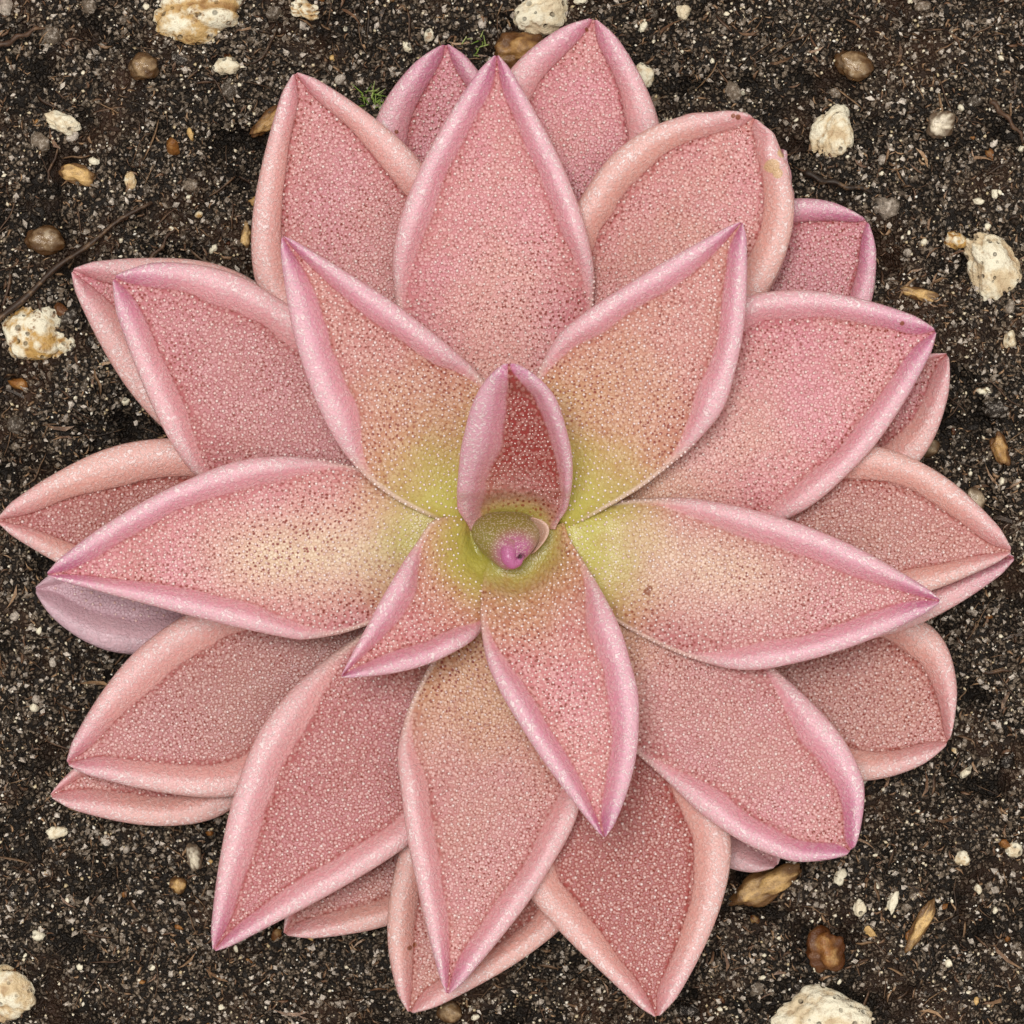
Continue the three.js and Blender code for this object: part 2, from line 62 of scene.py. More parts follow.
Faces = NDArray[np.int64]
Template = tuple[Array, Faces]
Number = Array | float
Socket = bpy.types.NodeSocket
Node = bpy.types.Node
Tree = bpy.types.NodeTree
Material = bpy.types.Material
Value = float | Socket
Tint = str | Socket
MM = 0.001
LOG = logging.getLogger("butterwort")


# Numbers over a surface
def smoothstep(value: Number, low: float, high: float) -> Array:
    """Runs from 0 at low to 1 at high along 3t^2 - 2t^3."""
    t = np.clip((value - low) / (high - low), 0.0, 1.0)
    return t * t * (3.0 - 2.0 * t)


def around(count: int) -> Array:
    """Equal turns of a full circle, in radians."""
    return np.arange(count) * 2 * np.pi / count


def turned(degrees: float) -> Array:
    """The matrix of a turn about the upright axis."""
    c, s = math.cos(math.radians(degrees)), math.sin(math.radians(degrees))
    return np.array([[c, -s, 0], [s, c, 0], [0, 0, 1]])


def lattice_noise(x: Number, y: Number, cell: float, seed: int) -> Array:
    """Soft noise: a random number on each corner of a square lattice, blended by smoothstep.

    Args:
        x: First coordinate of each place.
        y: Second coordinate.
        cell: Width of a lattice square.
        seed: Seed of the random numbers.

    Returns:
        Noise from -1 to 1.
    """
    table = np.random.default_rng(seed).random((256, 256)) * 2.0 - 1.0
    gx, gy = np.asarray(x) / cell, np.asarray(y) / cell
    ix, iy = np.floor(gx).astype(int), np.floor(gy).astype(int)
    fx, fy = gx - ix, gy - iy
    fx, fy = fx * fx * (3 - 2 * fx), fy * fy * (3 - 2 * fy)
    near = table[ix % 256, iy % 256] * (1 - fx) + table[(ix + 1) % 256, iy % 256] * fx
    far = table[ix % 256, (iy + 1) % 256] * (1 - fx) + table[(ix + 1) % 256, (iy + 1) % 256] * fx
    return near * (1 - fy) + far * fy


def pebble_relief(x: Number, y: Number, cell: float, seed: int) -> Array:
    """Packed domes: one random point in each lattice cell, round each of which stands a half ball.

    Args:
        x: First coordinate of each place.
        y: Second coordinate.
        cell: Mean distance between domes.
        seed: Seed of the random places and sizes.

    Returns:
        Height of the dome over each place, from 0 to 1.
    """
    random = np.random.default_rng(seed)
    shift_x, shift_y, size = random.random((3, 256, 256))
    gx, gy = np.asarray(x) / cell, np.asarray(y) / cell
    ix, iy = np.floor(gx).astype(int), np.floor(gy).astype(int)
    height = np.zeros_like(gx)
    for i in (-1, 0, 1):
        for j in (-1, 0, 1):
            cx, cy = (ix + i) % 256, (iy + j) % 256
            reach = 0.45 + 0.5 * size[cx, cy]
            apart = np.hypot(gx - ix - i - shift_x[cx, cy], gy - iy - j - shift_y[cx, cy]) / reach
            height = np.maximum(height, reach * np.sqrt(np.clip(1.0 - apart**2, 0.0, 1.0)))
    return height


# Meshes from arrays
@dataclass
class Shape:
    """A mesh as arrays: (n, 3) points in millimetres, blocks of three-cornered or four-cornered
    faces, and named marks, one number for each point."""

    points: Array
    faces: list[Faces]
    marks: dict[str, Array]

    @staticmethod
    def grid(rows: Array, closed_rows: bool = False, **marks: Number) -> "Shape":
        """A skin over rings of points: each four neighbours make a face.

        Where the rings don't run back into the first, a point in the middle of each end ring shuts
        the tube.

        Args:
            rows: (rows, round, 3) places.
            closed_rows: True where the last ring runs back into the first.
            **marks: Named numbers that spread over (rows, round).

        Returns:
            The shape.
        """
        count, sides, _ = rows.shape
        index = np.arange(count * sides).reshape(count, sides)
        if closed_rows:
            index = np.vstack([index, index[:1]])
        index = np.hstack([index, index[:, :1]])
        quads = np.stack([index[:-1, :-1], index[:-1, 1:], index[1:, 1:], index[1:, :-1]], -1)
        points = rows.reshape(-1, 3)
        faces = [quads.reshape(-1, 4)]
        spread = {name: np.broadcast_to(mark, (count, sides)) for name, mark in marks.items()}
        flat = {name: mark.reshape(-1) for name, mark in spread.items()}
        if not closed_rows:
            first, last = index[0, :-1], index[-1, :-1]
            ends = np.stack([rows[0].mean(0), rows[-1].mean(0)])
            total = len(points)
            faces.append(np.stack([np.roll(first, -1), first, np.full(sides, total)], -1))
            faces.append(np.stack([last, np.roll(last, -1), np.full(sides, total + 1)], -1))
            points = np.vstack([points, ends])
            flat = {name: np.append(mark, [mark[0].mean(), mark[-1].mean()])
                    for name, mark in spread.items()}
        return Shape(points, faces, flat)

    @staticmethod
    def joined(shapes: list["Shape"]) -> "Shape":
        """Several shapes as one, with the marks that all of them have.

        Args:
            shapes: The shapes to join.

        Returns:
            The one shape.
        """
        starts = np.cumsum([0] + [len(shape.points) for shape in shapes[:-1]])
        faces = [block + start for shape, start in zip(shapes, starts) for block in shape.faces]
        names = set(shapes[0].marks).intersection(*(shape.marks for shape in shapes))
        marks = {name: np.concatenate([shape.marks[name] for shape in shapes]) for name in names}
        return Shape(np.vstack([shape.points for shape in shapes]), faces, marks)

    def outward(self) -> "Shape":
        """Turns the faces round where the volume that they enclose comes out negative.

        Returns:
            The shape itself.
        """
        volume = 0.0
        for block in self.faces:
            for k in range(1, block.shape[1] - 1):
                a, b, c = (self.points[block[:, n]] for n in (0, k, k + 1))
                volume += float(np.einsum("ij,ij->", a, np.cross(b, c)))
        if volume < 0:
            self.faces = [block[:, ::-1] for block in self.faces]
        return self

    def build(self, name: str, finish: Material, slot: str, *stands_for: str,
              smooth: bool = True) -> bpy.types.Object:
        """Makes the Blender object, with its place in its mesh.

        Args:
            name: The piece's name.
            finish: Its material.
            slot: The record's material slot; not used.
            *stands_for: The fixed solids that it replaces.
            smooth: True for smooth shading.

        Returns:
            The object, riding on the plant's one body.
        """
        mesh = bpy.data.meshes.new(name)
        blocks = [np.ascontiguousarray(block) for block in self.faces if len(block)]
        sizes = np.concatenate([np.full(len(block), block.shape[1]) for block in blocks])
        corners = np.concatenate([block.reshape(-1) for block in blocks])
        mesh.vertices.add(len(self.points))
        mesh.vertices.foreach_set("co", (self.points * MM).astype(np.float32).reshape(-1))
        mesh.loops.add(len(corners))
        mesh.loops.foreach_set("vertex_index", corners.astype(np.int32))
        mesh.polygons.add(len(sizes))
        mesh.polygons.foreach_set("loop_start", (np.cumsum(sizes) - sizes).astype(np.int32))
        mesh.polygons.foreach_set("loop_total", sizes.astype(np.int32))
        mesh.polygons.foreach_set("use_smooth", np.full(len(sizes), smooth))
        for mark, values in self.marks.items():
            layer = mesh.attributes.new(mark, "FLOAT", "POINT")
            layer.data.foreach_set("value", values.astype(np.float32))
        mesh.update(calc_edges=True)
        mesh.validate()
        mesh.materials.append(finish)
        piece = bpy.data.objects.new(name, mesh)
        bpy.context.scene.collection.objects.link(piece)
        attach(piece, "root")
        if stands_for:
            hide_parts(*stands_for)
        LOG.info("%s: %d faces", name, len(sizes))
        return piece


def bead(sides: int) -> Template:
    """A ring of points between a low and a high one.

    Args:
        sides: How many points the ring has.

    Returns:
        Points and faces.
    """
    angle, side = around(sides), np.arange(sides)
    ring = np.stack([np.cos(angle), np.sin(angle), np.zeros(sides)], -1)
    points = np.vstack([ring, [[0, 0, 1.0]], [[0, 0, -1.0]]])
    upper = np.stack([side, (side + 1) % sides, np.full(sides, sides)], -1)
    lower = np.stack([(side + 1) % sides, side, np.full(sides, sides + 1)], -1)
    return points, np.vstack([upper, lower])


def splinter() -> Template:
    """A bent three-sided splinter: two rings of three points between two pointed ends.

    Returns:
        Points and faces.
    """
    angle = around(3)
    ring = np.stack([np.zeros(3), np.cos(angle), np.sin(angle)], -1)
    points = np.vstack([[(-1, -0.9, 0)], ring + (-0.35, 0.5, 0), ring * 0.8 + (0.4, 0.45, 0.3),
                        [(1, -1.2, 0.2)]])
    side = np.arange(3)
    after = (side + 1) % 3
    start = np.stack([np.zeros(3, int), after + 1, side + 1], -1)
    wall = np.vstack([np.stack([side + 1, after + 1, after + 4], -1),
                      np.stack([side + 1, after + 4, side + 4], -1)])
    end = np.stack([side + 4, after + 4, np.full(3, 7)], -1)
    return points, np.vstack([start, wall, end])


def ball(divisions: int) -> Template:
    """An icosahedron, each of whose faces is split in four as many times as divisions says.

    Args:
        divisions: How often the faces are split.

    Returns:
        Points and faces.
    """
    g = (1 + 5**0.5) / 2
    points = np.array([(-1, g, 0), (1, g, 0), (-1, -g, 0), (1, -g, 0), (0, -1, g), (0, 1, g),
                       (0, -1, -g), (0, 1, -g), (g, 0, -1), (g, 0, 1), (-g, 0, -1), (-g, 0, 1)], float)
    faces = np.array([(0, 11, 5), (0, 5, 1), (0, 1, 7), (0, 7, 10), (0, 10, 11), (1, 5, 9), (5, 11, 4),
                      (11, 10, 2), (10, 7, 6), (7, 1, 8), (3, 9, 4), (3, 4, 2), (3, 2, 6), (3, 6, 8),
                      (3, 8, 9), (4, 9, 5), (2, 4, 11), (6, 2, 10), (8, 6, 7), (9, 8, 1)])
    points /= np.linalg.norm(points, axis=1, keepdims=True)
    for _ in range(divisions):
        edges = np.sort(np.stack([faces, np.roll(faces, -1, 1)], -1).reshape(-1, 2), 1)
        unique, place = np.unique(edges, axis=0, return_inverse=True)
        middle = points[unique].mean(1)
        middle /= np.linalg.norm(middle, axis=1, keepdims=True)
        mid = place.reshape(-1, 3) + len(points)
        points = np.vstack([points, middle])
        corners = [np.stack([faces[:, k], mid[:, k], mid[:, k - 1]], -1) for k in range(3)]
        faces = np.vstack(corners + [mid])
    return points, faces


def scattered(template: Template, places: Array, sizes: Array,
              turns: Array, rough: float = 0.0, seed: int = 0, **marks: Array) -> Shape:
    """Many copies of a small shape, each stretched, turned and moved.

    Each copy's points are the template's, pushed in or out at random, times the three sizes,
    turned by the copy's own matrix and moved to its place.

    Args:
        template: Points and faces of the small shape.
        places: (n, 3) middles.
        sizes: (n, 3) half-sizes.
        turns: (n, 3) turns about x, y and z in radians.
        rough: Greatest share by which a point is pushed in or out.
        seed: Seed of the pushes.
        **marks: Named numbers, one for each copy.

    Returns:
        All the copies as one shape.
    """
    points, faces = template
    count, corners = len(places), len(points)
    push = 1 + rough * (np.random.default_rng(seed).random((count, corners, 1)) * 2 - 1)
    local = points[None] * push * sizes[:, None, :]
    (ca, cb, cc), (sa, sb, sc) = np.cos(turns).T, np.sin(turns).T
    zero, one = np.zeros(count), np.ones(count)
    about_x = np.stack([one, zero, zero, zero, ca, -sa, zero, sa, ca], -1).reshape(-1, 3, 3)
    about_y = np.stack([cb, zero, sb, zero, one, zero, -sb, zero, cb], -1).reshape(-1, 3, 3)
    about_z = np.stack([cc, -sc, zero, sc, cc, zero, zero, zero, one], -1).reshape(-1, 3, 3)
    turned = np.einsum("nij,nkj->nki", about_z @ about_y @ about_x, local) + places[:, None, :]
    every = faces[None] + (np.arange(count) * corners)[:, None, None]
    held = {name: np.repeat(values, corners) for name, values in marks.items()}
    return Shape(turned.reshape(-1, 3), [every.reshape(-1, 3)], held)


# Node graphs
def colour(code: str) -> tuple[float, ...]:
    """A screen colour such as "#c08060" as linear red, green, blue and alpha."""
    parts = (int(code[i:i + 2], 16) / 255 for i in (1, 3, 5))
    return *(p / 12.92 if p <= 0.04045 else ((p + 0.055) / 1.055) ** 2.4 for p in parts), 1.0


class Graph:
    """A node tree, with a short call for each kind of node that the finishes use."""

    def __init__(self, tree: Tree) -> None:
        """Keeps the tree."""
        self.tree = tree

    def add(self, kind: str, inputs: dict[str | int, object] | None = None,
            **settings: object) -> Node:
        """Adds a node.

        Args:
            kind: The node's type.
            inputs: Sockets to link, or values to set, by name or number.
            **settings: The node's own options.

        Returns:
            The node.
        """
        node = self.tree.nodes.new(kind)
        for name, value in settings.items():
            setattr(node, name, value)
        return self.give(node, inputs or {})

    def give(self, node: Node, inputs: dict[str | int, object]) -> Node:
        """Links sockets to a node's inputs, or sets their values.

        Args:
            node: The node.
            inputs: Sockets, numbers or screen colours, by the input's name or number.

        Returns:
            The node.
        """
        for key, value in inputs.items():
            if isinstance(value, Socket):
                self.tree.links.new(value, node.inputs[key])
            else:
                node.inputs[key].default_value = colour(value) if isinstance(value, str) else value
        return node

    def place(self) -> Socket:
        """The Object coordinates."""
        return self.add("ShaderNodeTexCoord").outputs["Object"]

    def mark(self, name: str) -> Socket:
        """A number that the mesh holds for each of its points."""
        return self.add("ShaderNodeAttribute", attribute_name=name).outputs["Fac"]

    def math(self, operation: str, first: Value, second: Value = 0.0, clamp: bool = False) -> Socket:
        """One sum of two numbers."""
        node = self.add("ShaderNodeMath", {0: first, 1: second}, operation=operation, use_clamp=clamp)
        return node.outputs[0]

    def times(self, first: Value, second: Value) -> Socket:
        """The product of two numbers."""
        return self.math("MULTIPLY", first, second)

    def plus(self, first: Value, second: Value) -> Socket:
        """The sum of two numbers."""
        return self.math("ADD", first, second)

    def minus(self, first: Value, second: Value) -> Socket:
        """The first number less the second."""
        return self.math("SUBTRACT", first, second)

    def mix(self, share: Value, first: Tint, second: Tint, blend: str = "MIX") -> Socket:
        """Two colours mixed by a share."""
        node = self.add("ShaderNodeMix", {0: share, 6: first, 7: second}, data_type="RGBA",
                        blend_type=blend, clamp_factor=True)
        return node.outputs[2]

    def vector(self, operation: str, first: object, second: object = (0.0, 0.0, 0.0)) -> Node:
        """One sum of two vectors."""
        return self.add("ShaderNodeVectorMath", {0: first, 1: second}, operation=operation)

    def noise(self, vector: Socket, size_mm: float, detail: float = 3.0,
              roughness: float = 0.55) -> Socket:
        """Cloudy noise whose features are about size_mm wide."""
        node = self.add("ShaderNodeTexNoise", {"Vector": vector, "Scale": 1.0 / (size_mm * MM),
                                               "Detail": detail, "Roughness": roughness})
        return node.outputs["Fac"]

    def between(self, value: Value, low: float, high: float, to_low: float = 0.0,
                to_high: float = 1.0) -> Socket:
        """Maps low..high onto to_low..to_high, held at the ends."""
        node = self.add("ShaderNodeMapRange", {"Value": value, "From Min": low, "From Max": high,
                                               "To Min": to_low, "To Max": to_high}, clamp=True)
        return node.outputs["Result"]

    def group(self, tree: Tree, **inputs: Value) -> Node:
        """Places a shared effect."""
        return self.add("ShaderNodeGroup", {name.replace("_", " "): value for name, value in inputs.items()},
                        node_tree=tree)

    def bump(self, height: Value, depth_mm: float, strength: float = 1.0) -> Socket:
        """A Bump node on a height from 0 to 1 that stands for depth_mm."""
        return self.add("ShaderNodeBump", {"Height": height, "Distance": depth_mm * MM,
                                           "Strength": strength}).outputs["Normal"]


def new_group(name: str, inputs: dict[str, float], output: str) -> tuple[Tree, Graph, Node, Socket]:
    """Starts a shared effect that works on a place in space.

    Args:
        name: The group's name.
        inputs: Default for each number that it takes beside the place, Vector.
        output: The name of the number that it puts out.

    Returns:
        The tree, its graph, the input node and the socket that takes the result.
    """
    tree = bpy.data.node_groups.new(name, "ShaderNodeTree")
    tree.interface.new_socket(name="Vector", in_out="INPUT", socket_type="NodeSocketVector")
    for label, default in inputs.items():
        socket = tree.interface.new_socket(name=label, in_out="INPUT", socket_type="NodeSocketFloat")
        socket.default_value = default
    tree.interface.new_socket(name=output, in_out="OUTPUT", socket_type="NodeSocketFloat")
    graph = Graph(tree)
    return tree, graph, graph.add("NodeGroupInput"), graph.add("NodeGroupOutput").inputs[output]


class Effects:
    """The effects that more than one finish uses, each built once."""

    def __init__(self) -> None:
        """Builds the groups."""
        self.dots = self._dots("dots", "3D")
        self.glands = self._dots("glands", "2D")
        self.grain = self._grain()
        self.strokes = self._strokes()

    @staticmethod
    def _dots(name: str, dimensions: str) -> Tree:
        """Round dots: 1 within Radius of a random point, of which there is one to each Spacing.

        Args:
            name: The group's name.
            dimensions: "3D" for dots in space, "2D" for dots on the first two coordinates.

        Returns:
            The group.
        """
        tree, graph, given, result = new_group(name, {"Spacing": 0.5, "Radius": 0.2}, "Mask")
        scale = graph.math("DIVIDE", 1.0 / MM, given.outputs["Spacing"])
        cells = graph.add("ShaderNodeTexVoronoi", {"Vector": given.outputs["Vector"], "Scale": scale},
                          voronoi_dimensions=dimensions)
        size = graph.times(given.outputs["Radius"],
                          graph.between(cells.outputs["Color"], 0.0, 1.0, 0.55, 1.25))
        inside = graph.minus(size, cells.outputs["Distance"])
        mask = graph.math("DIVIDE", inside, graph.times(size, 0.5), clamp=True)
        graph.tree.links.new(mask, result)
        return tree

    @staticmethod
    def _grain() -> Tree:
        """Fine grain: cloudy noise of a given size with a finer one laid over it.

        Returns:
            The group.
        """
        tree, graph, given, result = new_group("grain", {"Size": 1.0}, "Height")
        coarse = graph.math("DIVIDE", 1.0 / MM, given.outputs["Size"])
        fine = graph.times(coarse, 3.7)
        first = graph.add("ShaderNodeTexNoise", {"Vector": given.outputs["Vector"], "Scale": coarse,
                                                 "Detail": 4.0, "Roughness": 0.6})
        second = graph.add("ShaderNodeTexNoise", {"Vector": given.outputs["Vector"], "Scale": fine,
                                                  "Detail": 2.0, "Roughness": 0.6})
        height = graph.plus(graph.times(first.outputs["Fac"], 0.65),
                            graph.times(second.outputs["Fac"], 0.35))
        graph.tree.links.new(height, result)
        return tree

    @staticmethod
    def _strokes() -> Tree:
        """Short winding strokes: the places where distorted noise is close to its middle value.

        Returns:
            The group.
        """
        tree, graph, given, result = new_group("strokes", {"Size": 0.4}, "Mask")
        scale = graph.math("DIVIDE", 1.0 / MM, given.outputs["Size"])
        noise = graph.add("ShaderNodeTexNoise", {"Vector": given.outputs["Vector"], "Scale": scale,
                                                 "Detail": 1.0, "Distortion": 0.8})
        off = graph.math("ABSOLUTE", graph.minus(noise.outputs["Fac"], 0.5))
        line = graph.between(off, 0.07, 0.025)
        gaps = graph.add("ShaderNodeTexNoise", {"Vector": given.outputs["Vector"], "Detail": 1.0,
                                                "Scale": graph.times(scale, 1.3)})
        mask = graph.times(line, graph.between(gaps.outputs["Fac"], 0.43, 0.5))
        graph.tree.links.new(mask, result)
        return tree


class Surface(Graph):
    """A material's graph, round its one shader."""

    def __init__(self, name: str) -> None:
        """Starts the material.

        Args:
            name: Its name.
        """
        self.material = bpy.data.materials.new(name)
        self.material.use_nodes = True
        super().__init__(self.material.node_tree)

    def dress(self, **inputs: object) -> Material:
        """Gives the shader its inputs; an underscore in a name stands for a space."""
        self.give(self.tree.nodes["Principled BSDF"], {n.replace("_", " "): v for n, v in inputs.items()})
        return self.material


# Finishes
@dataclass(frozen=True)
class LeafFinish:
    """Fleshy leaf: lime heart, amber waist, rose blade and pale pink rolled margins, with painted highlights
    on the margins and painted shade in their folds.
    """

    lime: str = "#b6ad45"
    olive: str = "#8f861c"
    amber: str = "#cb9f72"
    salmon: str = "#d09384"
    rose: str = "#d58a96"
    pale: str = "#dfc5a2"
    deep: str = "#a03a36"
    flush: str = "#bd636c"
    dusk: str = "#a36d60"
    tan: str = "#dba58c"
    peach: str = "#e0a396"
    pink: str = "#e29eb0"
    mauve: str = "#dc94ae"
    orchid: str = "#c86d9c"
    # Inner side of the roll: deep pink, painted lighter against the shade that falls there.
    inside: str = "#de929d"
    shade: str = "#e4aa9b"
    ashen: str = "#c4a4ae"
    torn: str = "#d4ad80"
    # Pale thin edge of the base: partly the leaf's own pale rim, partly painted light against the shade on
    # that edge.
    hem: str = "#ecd0bf"
    # Deeper red where the margin folds onto the blade: partly the leaf's own red there, partly painted shade
    # in the fold.
    crease: str = "#b3584f"
    ground: str = "#cf9182"
    granule: str = "#f5dccc"
    pit: str = "#86301f"
    # Painted highlight: wet glints on the margins' strokes and a pale band along their crests.
    glint: str = "#fff5f1"
    scar: str = "#8a4a26"
    granule_mm: float = 0.31
    pit_mm: float = 0.45
    scars: tuple[tuple[float, float, float], ...] = (
        (10.55, -4.0, 0.34), (10.75, -3.75, 0.25), (17.7, 33.1, 0.26), (17.3, 33.2, 0.2), (30.3, 16.85, 0.2),
        (32.5, 17.0, 0.16), (5.9, 40.3, 0.16), (-9.2, 32.5, 0.2), (-8.1, -32.3, 0.22), (-7.7, -32.1, 0.2))
    tears: tuple[tuple[float, float, float], ...] = (
        (20.4, 29.3, 0.62), (20.8, 28.7, 0.45), (21.1, 30.3, 0.4))

    def blade(self, graph: Graph, place: Socket) -> Socket:
        """The blade's colour: marks laid over each other from the tip to the heart.

        Args:
            graph: The material's graph.
            place: The Object coordinates.

        Returns:
            The colour.
        """
        cloud = graph.noise(place, 5.0)
        patch = graph.noise(place, 1.6, 2.0)
        uneven = graph.between(cloud, 0.35, 0.65, -0.25, 0.25)
        rosy = graph.math("ADD", graph.mark("rose"), uneven, clamp=True)
        body = graph.mix(rosy, self.salmon, self.rose)
        for mark in ("dusk", "amber", "pale", "lime", "olive", "flush", "deep"):
            body = graph.mix(graph.mark(mark), body, getattr(self, mark))
        body = graph.mix(graph.between(patch, 0.5, 0.72, 0.0, 0.22), body, self.deep)
        # Painted shade in the fold by the rolled margin, over the leaf's own deeper red there.
        return graph.mix(graph.times(graph.mark("crease"), 0.62), body, self.crease)

    def edge(self, graph: Graph, stroke: Socket) -> Socket:
        """The rolled margin's colour, from tan outside over a pale crest with painted wet highlights to deep
        pink inside, painted lighter there against the shade, with painted shade in the fold.

        Args:
            graph: The material's graph.
            stroke: Mask of the wet strokes, along which highlights are painted.

        Returns:
            The colour.
        """
        inner, blush, mauve = graph.mark("inner"), graph.mark("blush"), graph.mark("mauve")
        crest = graph.mix(graph.between(blush, 0.25, 0.85), self.peach, self.pink)
        crest = graph.mix(mauve, crest, self.mauve)
        outer = graph.mix(graph.times(blush, 0.35), self.tan, self.pink)
        outer = graph.mix(mauve, outer, self.mauve)
        body = graph.mix(graph.between(inner, 0.08, 0.38), outer, crest)
        # Painted light: the roll's inner side is made lighter to offset the shade there.
        inside = graph.mix(graph.between(blush, 0.3, 0.9), self.shade, self.inside)
        body = graph.mix(graph.between(inner, 0.5, 0.78, 0.0, 0.6), body, inside)
        # Painted shade and deeper red at the roll's inner foot, where it meets the blade.
        body = graph.mix(graph.between(inner, 0.88, 1.0, 0.0, 0.75), body, self.crease)
        body = graph.mix(graph.mark("tip"), body, self.orchid)
        # Painted highlights: a pale band along the crest, and white wet glints along the strokes, strongest
        # on the crest.
        crest_highlight_band = graph.times(graph.between(inner, 0.16, 0.36), graph.between(inner, 0.62, 0.42))
        wet = graph.times(stroke, graph.plus(graph.times(crest_highlight_band, 0.5), 0.22))
        return graph.mix(wet, graph.mix(graph.times(crest_highlight_band, 0.2), body, self.glint), self.glint)

    def material(self, effects: Effects) -> Material:
        """Builds the material.

        Args:
            effects: The shared effects.

        Returns:
            The material, which reads the leaf's own marks.
        """
        graph = Surface("leaf_skin")
        place = graph.place()
        on_leaf = graph.add("ShaderNodeCombineXYZ", {0: graph.mark("girth"), 1: graph.mark("run")}).outputs[0]
        margin, lime = graph.mark("margin"), graph.mark("lime")
        fine = graph.noise(place, 0.16, 2.0, 0.7)
        granule = graph.group(effects.glands, Vector=on_leaf, Spacing=self.granule_mm, Radius=0.62)
        granule = granule.outputs["Mask"]
        pit = graph.group(effects.glands, Vector=on_leaf, Spacing=self.pit_mm, Radius=0.3).outputs["Mask"]
        stroke = graph.group(effects.strokes, Vector=place, Size=0.4).outputs["Mask"]
        blade = self.blade(graph, place)
        rough = graph.minus(1.0, graph.math("MAXIMUM", graph.mark("olive"), graph.times(lime, 0.7)))
        grains = graph.times(granule, graph.between(fine, 0.35, 0.6, 0.35, 1.0))
        grains = graph.plus(graph.times(grains, rough), graph.times(graph.minus(1.0, rough), 0.35))
        ground = graph.mix(graph.times(rough, 0.32), blade, self.ground, "MULTIPLY")
        pale = graph.mix(graph.between(rough, 0.2, 1.0, 0.08, 0.26), blade, self.granule)
        blade = graph.mix(grains, ground, pale)
        deepness = graph.between(graph.noise(place, 7.0), 0.4, 0.62, 0.4, 0.95)
        deepness = graph.times(deepness, graph.minus(1.0, lime))
        blade = graph.mix(graph.times(pit, deepness), blade, self.pit)
        edge = self.edge(graph, stroke)
        edge = graph.mix(0.2, edge, self.ground, "MULTIPLY")
        edge = graph.mix(graph.times(grains, 0.16), edge, self.granule)
        skin = graph.mix(margin, blade, edge)
        skin = graph.mix(graph.mark("ashen"), skin, self.ashen)
        # Painted light along the thin base edge, over its own paler rim.
        skin = graph.mix(graph.times(graph.mark("hem"), 0.7), skin, self.hem)
        wander = graph.between(graph.noise(place, 2.2), 0.3, 0.7, 0.75, 1.25)
        for spots, tint, inmost in ((self.tears, self.torn, 0.8), (self.scars, self.scar, 0.7)):
            for x, y, radius in spots:
                away = graph.vector("SUBTRACT", place, (x * MM, y * MM, 0.0)).outputs[0]
                flat = graph.vector("MULTIPLY", away, (1.0, 1.0, 0.0)).outputs[0]
                span = graph.times(graph.vector("LENGTH", flat).outputs["Value"], wander)
                skin = graph.mix(graph.between(span, radius * MM, inmost * radius * MM, 0.0, 0.9), skin, tint)
        relief = graph.plus(graph.times(stroke, graph.times(margin, 0.5)), graph.times(fine, 0.5))
        relief = graph.plus(relief, graph.times(granule, graph.between(margin, 0.0, 1.0, 0.7, 0.35)))
        relief = graph.times(relief, graph.between(rough, 0.2, 1.0, 0.3, 1.0))
        return graph.dress(Base_Color=skin, Roughness=graph.between(fine, 0.35, 0.65, 0.26, 0.46),
                           Normal=graph.bump(relief, 0.07, 0.9))


@dataclass(frozen=True)
class DropletFinish:
    """Clear sticky droplets that look cream-white against the leaf."""

    cream: str = "#fff6f0"
    blushed: str = "#eac2b8"

    def material(self) -> Material:
        """Builds the material from the droplets' own tone.

        Returns:
            The material.
        """
        graph = Surface("gland_droplet")
        tint = graph.mix(graph.mark("tone"), self.cream, self.blushed)
        return graph.dress(Base_Color=tint, Roughness=0.3, IOR=1.4, Specular_IOR_Level=0.5)


@dataclass(frozen=True)
class BudFinish:
    """Folded young leaves: olive with fine pale specks, magenta towards the curled tip, with painted shade in
    the hollow of the curl.
    """

    olive: str = "#877a38"
    magenta: str = "#b3608a"
    brown: str = "#a9886c"
    rim: str = "#d8b09a"
    glint: str = "#e2cdb6"
    # Painted shade in the hollow of the curled nose.
    hole: str = "#431a22"

    def material(self, effects: Effects) -> Material:
        """Builds the material from the bud's own marks.

        Args:
            effects: The shared effects.

        Returns:
            The material.
        """
        graph = Surface("bud_skin")
        place = graph.place()
        body = graph.mix(graph.mark("ruddy"), self.olive, self.brown)
        body = graph.mix(graph.mark("tip"), body, self.magenta)
        body = graph.mix(graph.mark("rim"), body, self.rim)
        speck = graph.group(effects.dots, Vector=place, Spacing=0.17, Radius=0.55).outputs["Mask"]
        share = graph.times(speck, graph.minus(0.42, graph.times(graph.mark("curl"), 0.36)))
        body = graph.mix(share, body, self.glint)
        # Painted shade: near black in the hollow where the nose curls in.
        body = graph.mix(graph.mark("hole"), body, self.hole)
        return graph.dress(Base_Color=body, Roughness=0.32, Normal=graph.bump(speck, 0.03, 0.7))


@dataclass(frozen=True)
class CrownFinish:
    """The short stem: lime above the mix, straw-brown with root hairs' dullness below."""

    lime: str = "#a39c34"
    straw: str = "#a58c62"

    def material(self, effects: Effects) -> Material:
        """Builds the material from the height over the mix.

        Args:
            effects: The shared effects.

        Returns:
            The material.
        """
        graph = Surface("crown_skin")
        place = graph.place()
        grain = graph.group(effects.grain, Vector=place, Size=0.8).outputs["Height"]
        body = graph.mix(graph.mark("green"), self.straw, self.lime)
        body = graph.mix(graph.between(grain, 0.35, 0.65, 0.0, 0.3), body, "#6f5a38")
        return graph.dress(Base_Color=body, Roughness=0.5, Normal=graph.bump(grain, 0.1, 0.6))


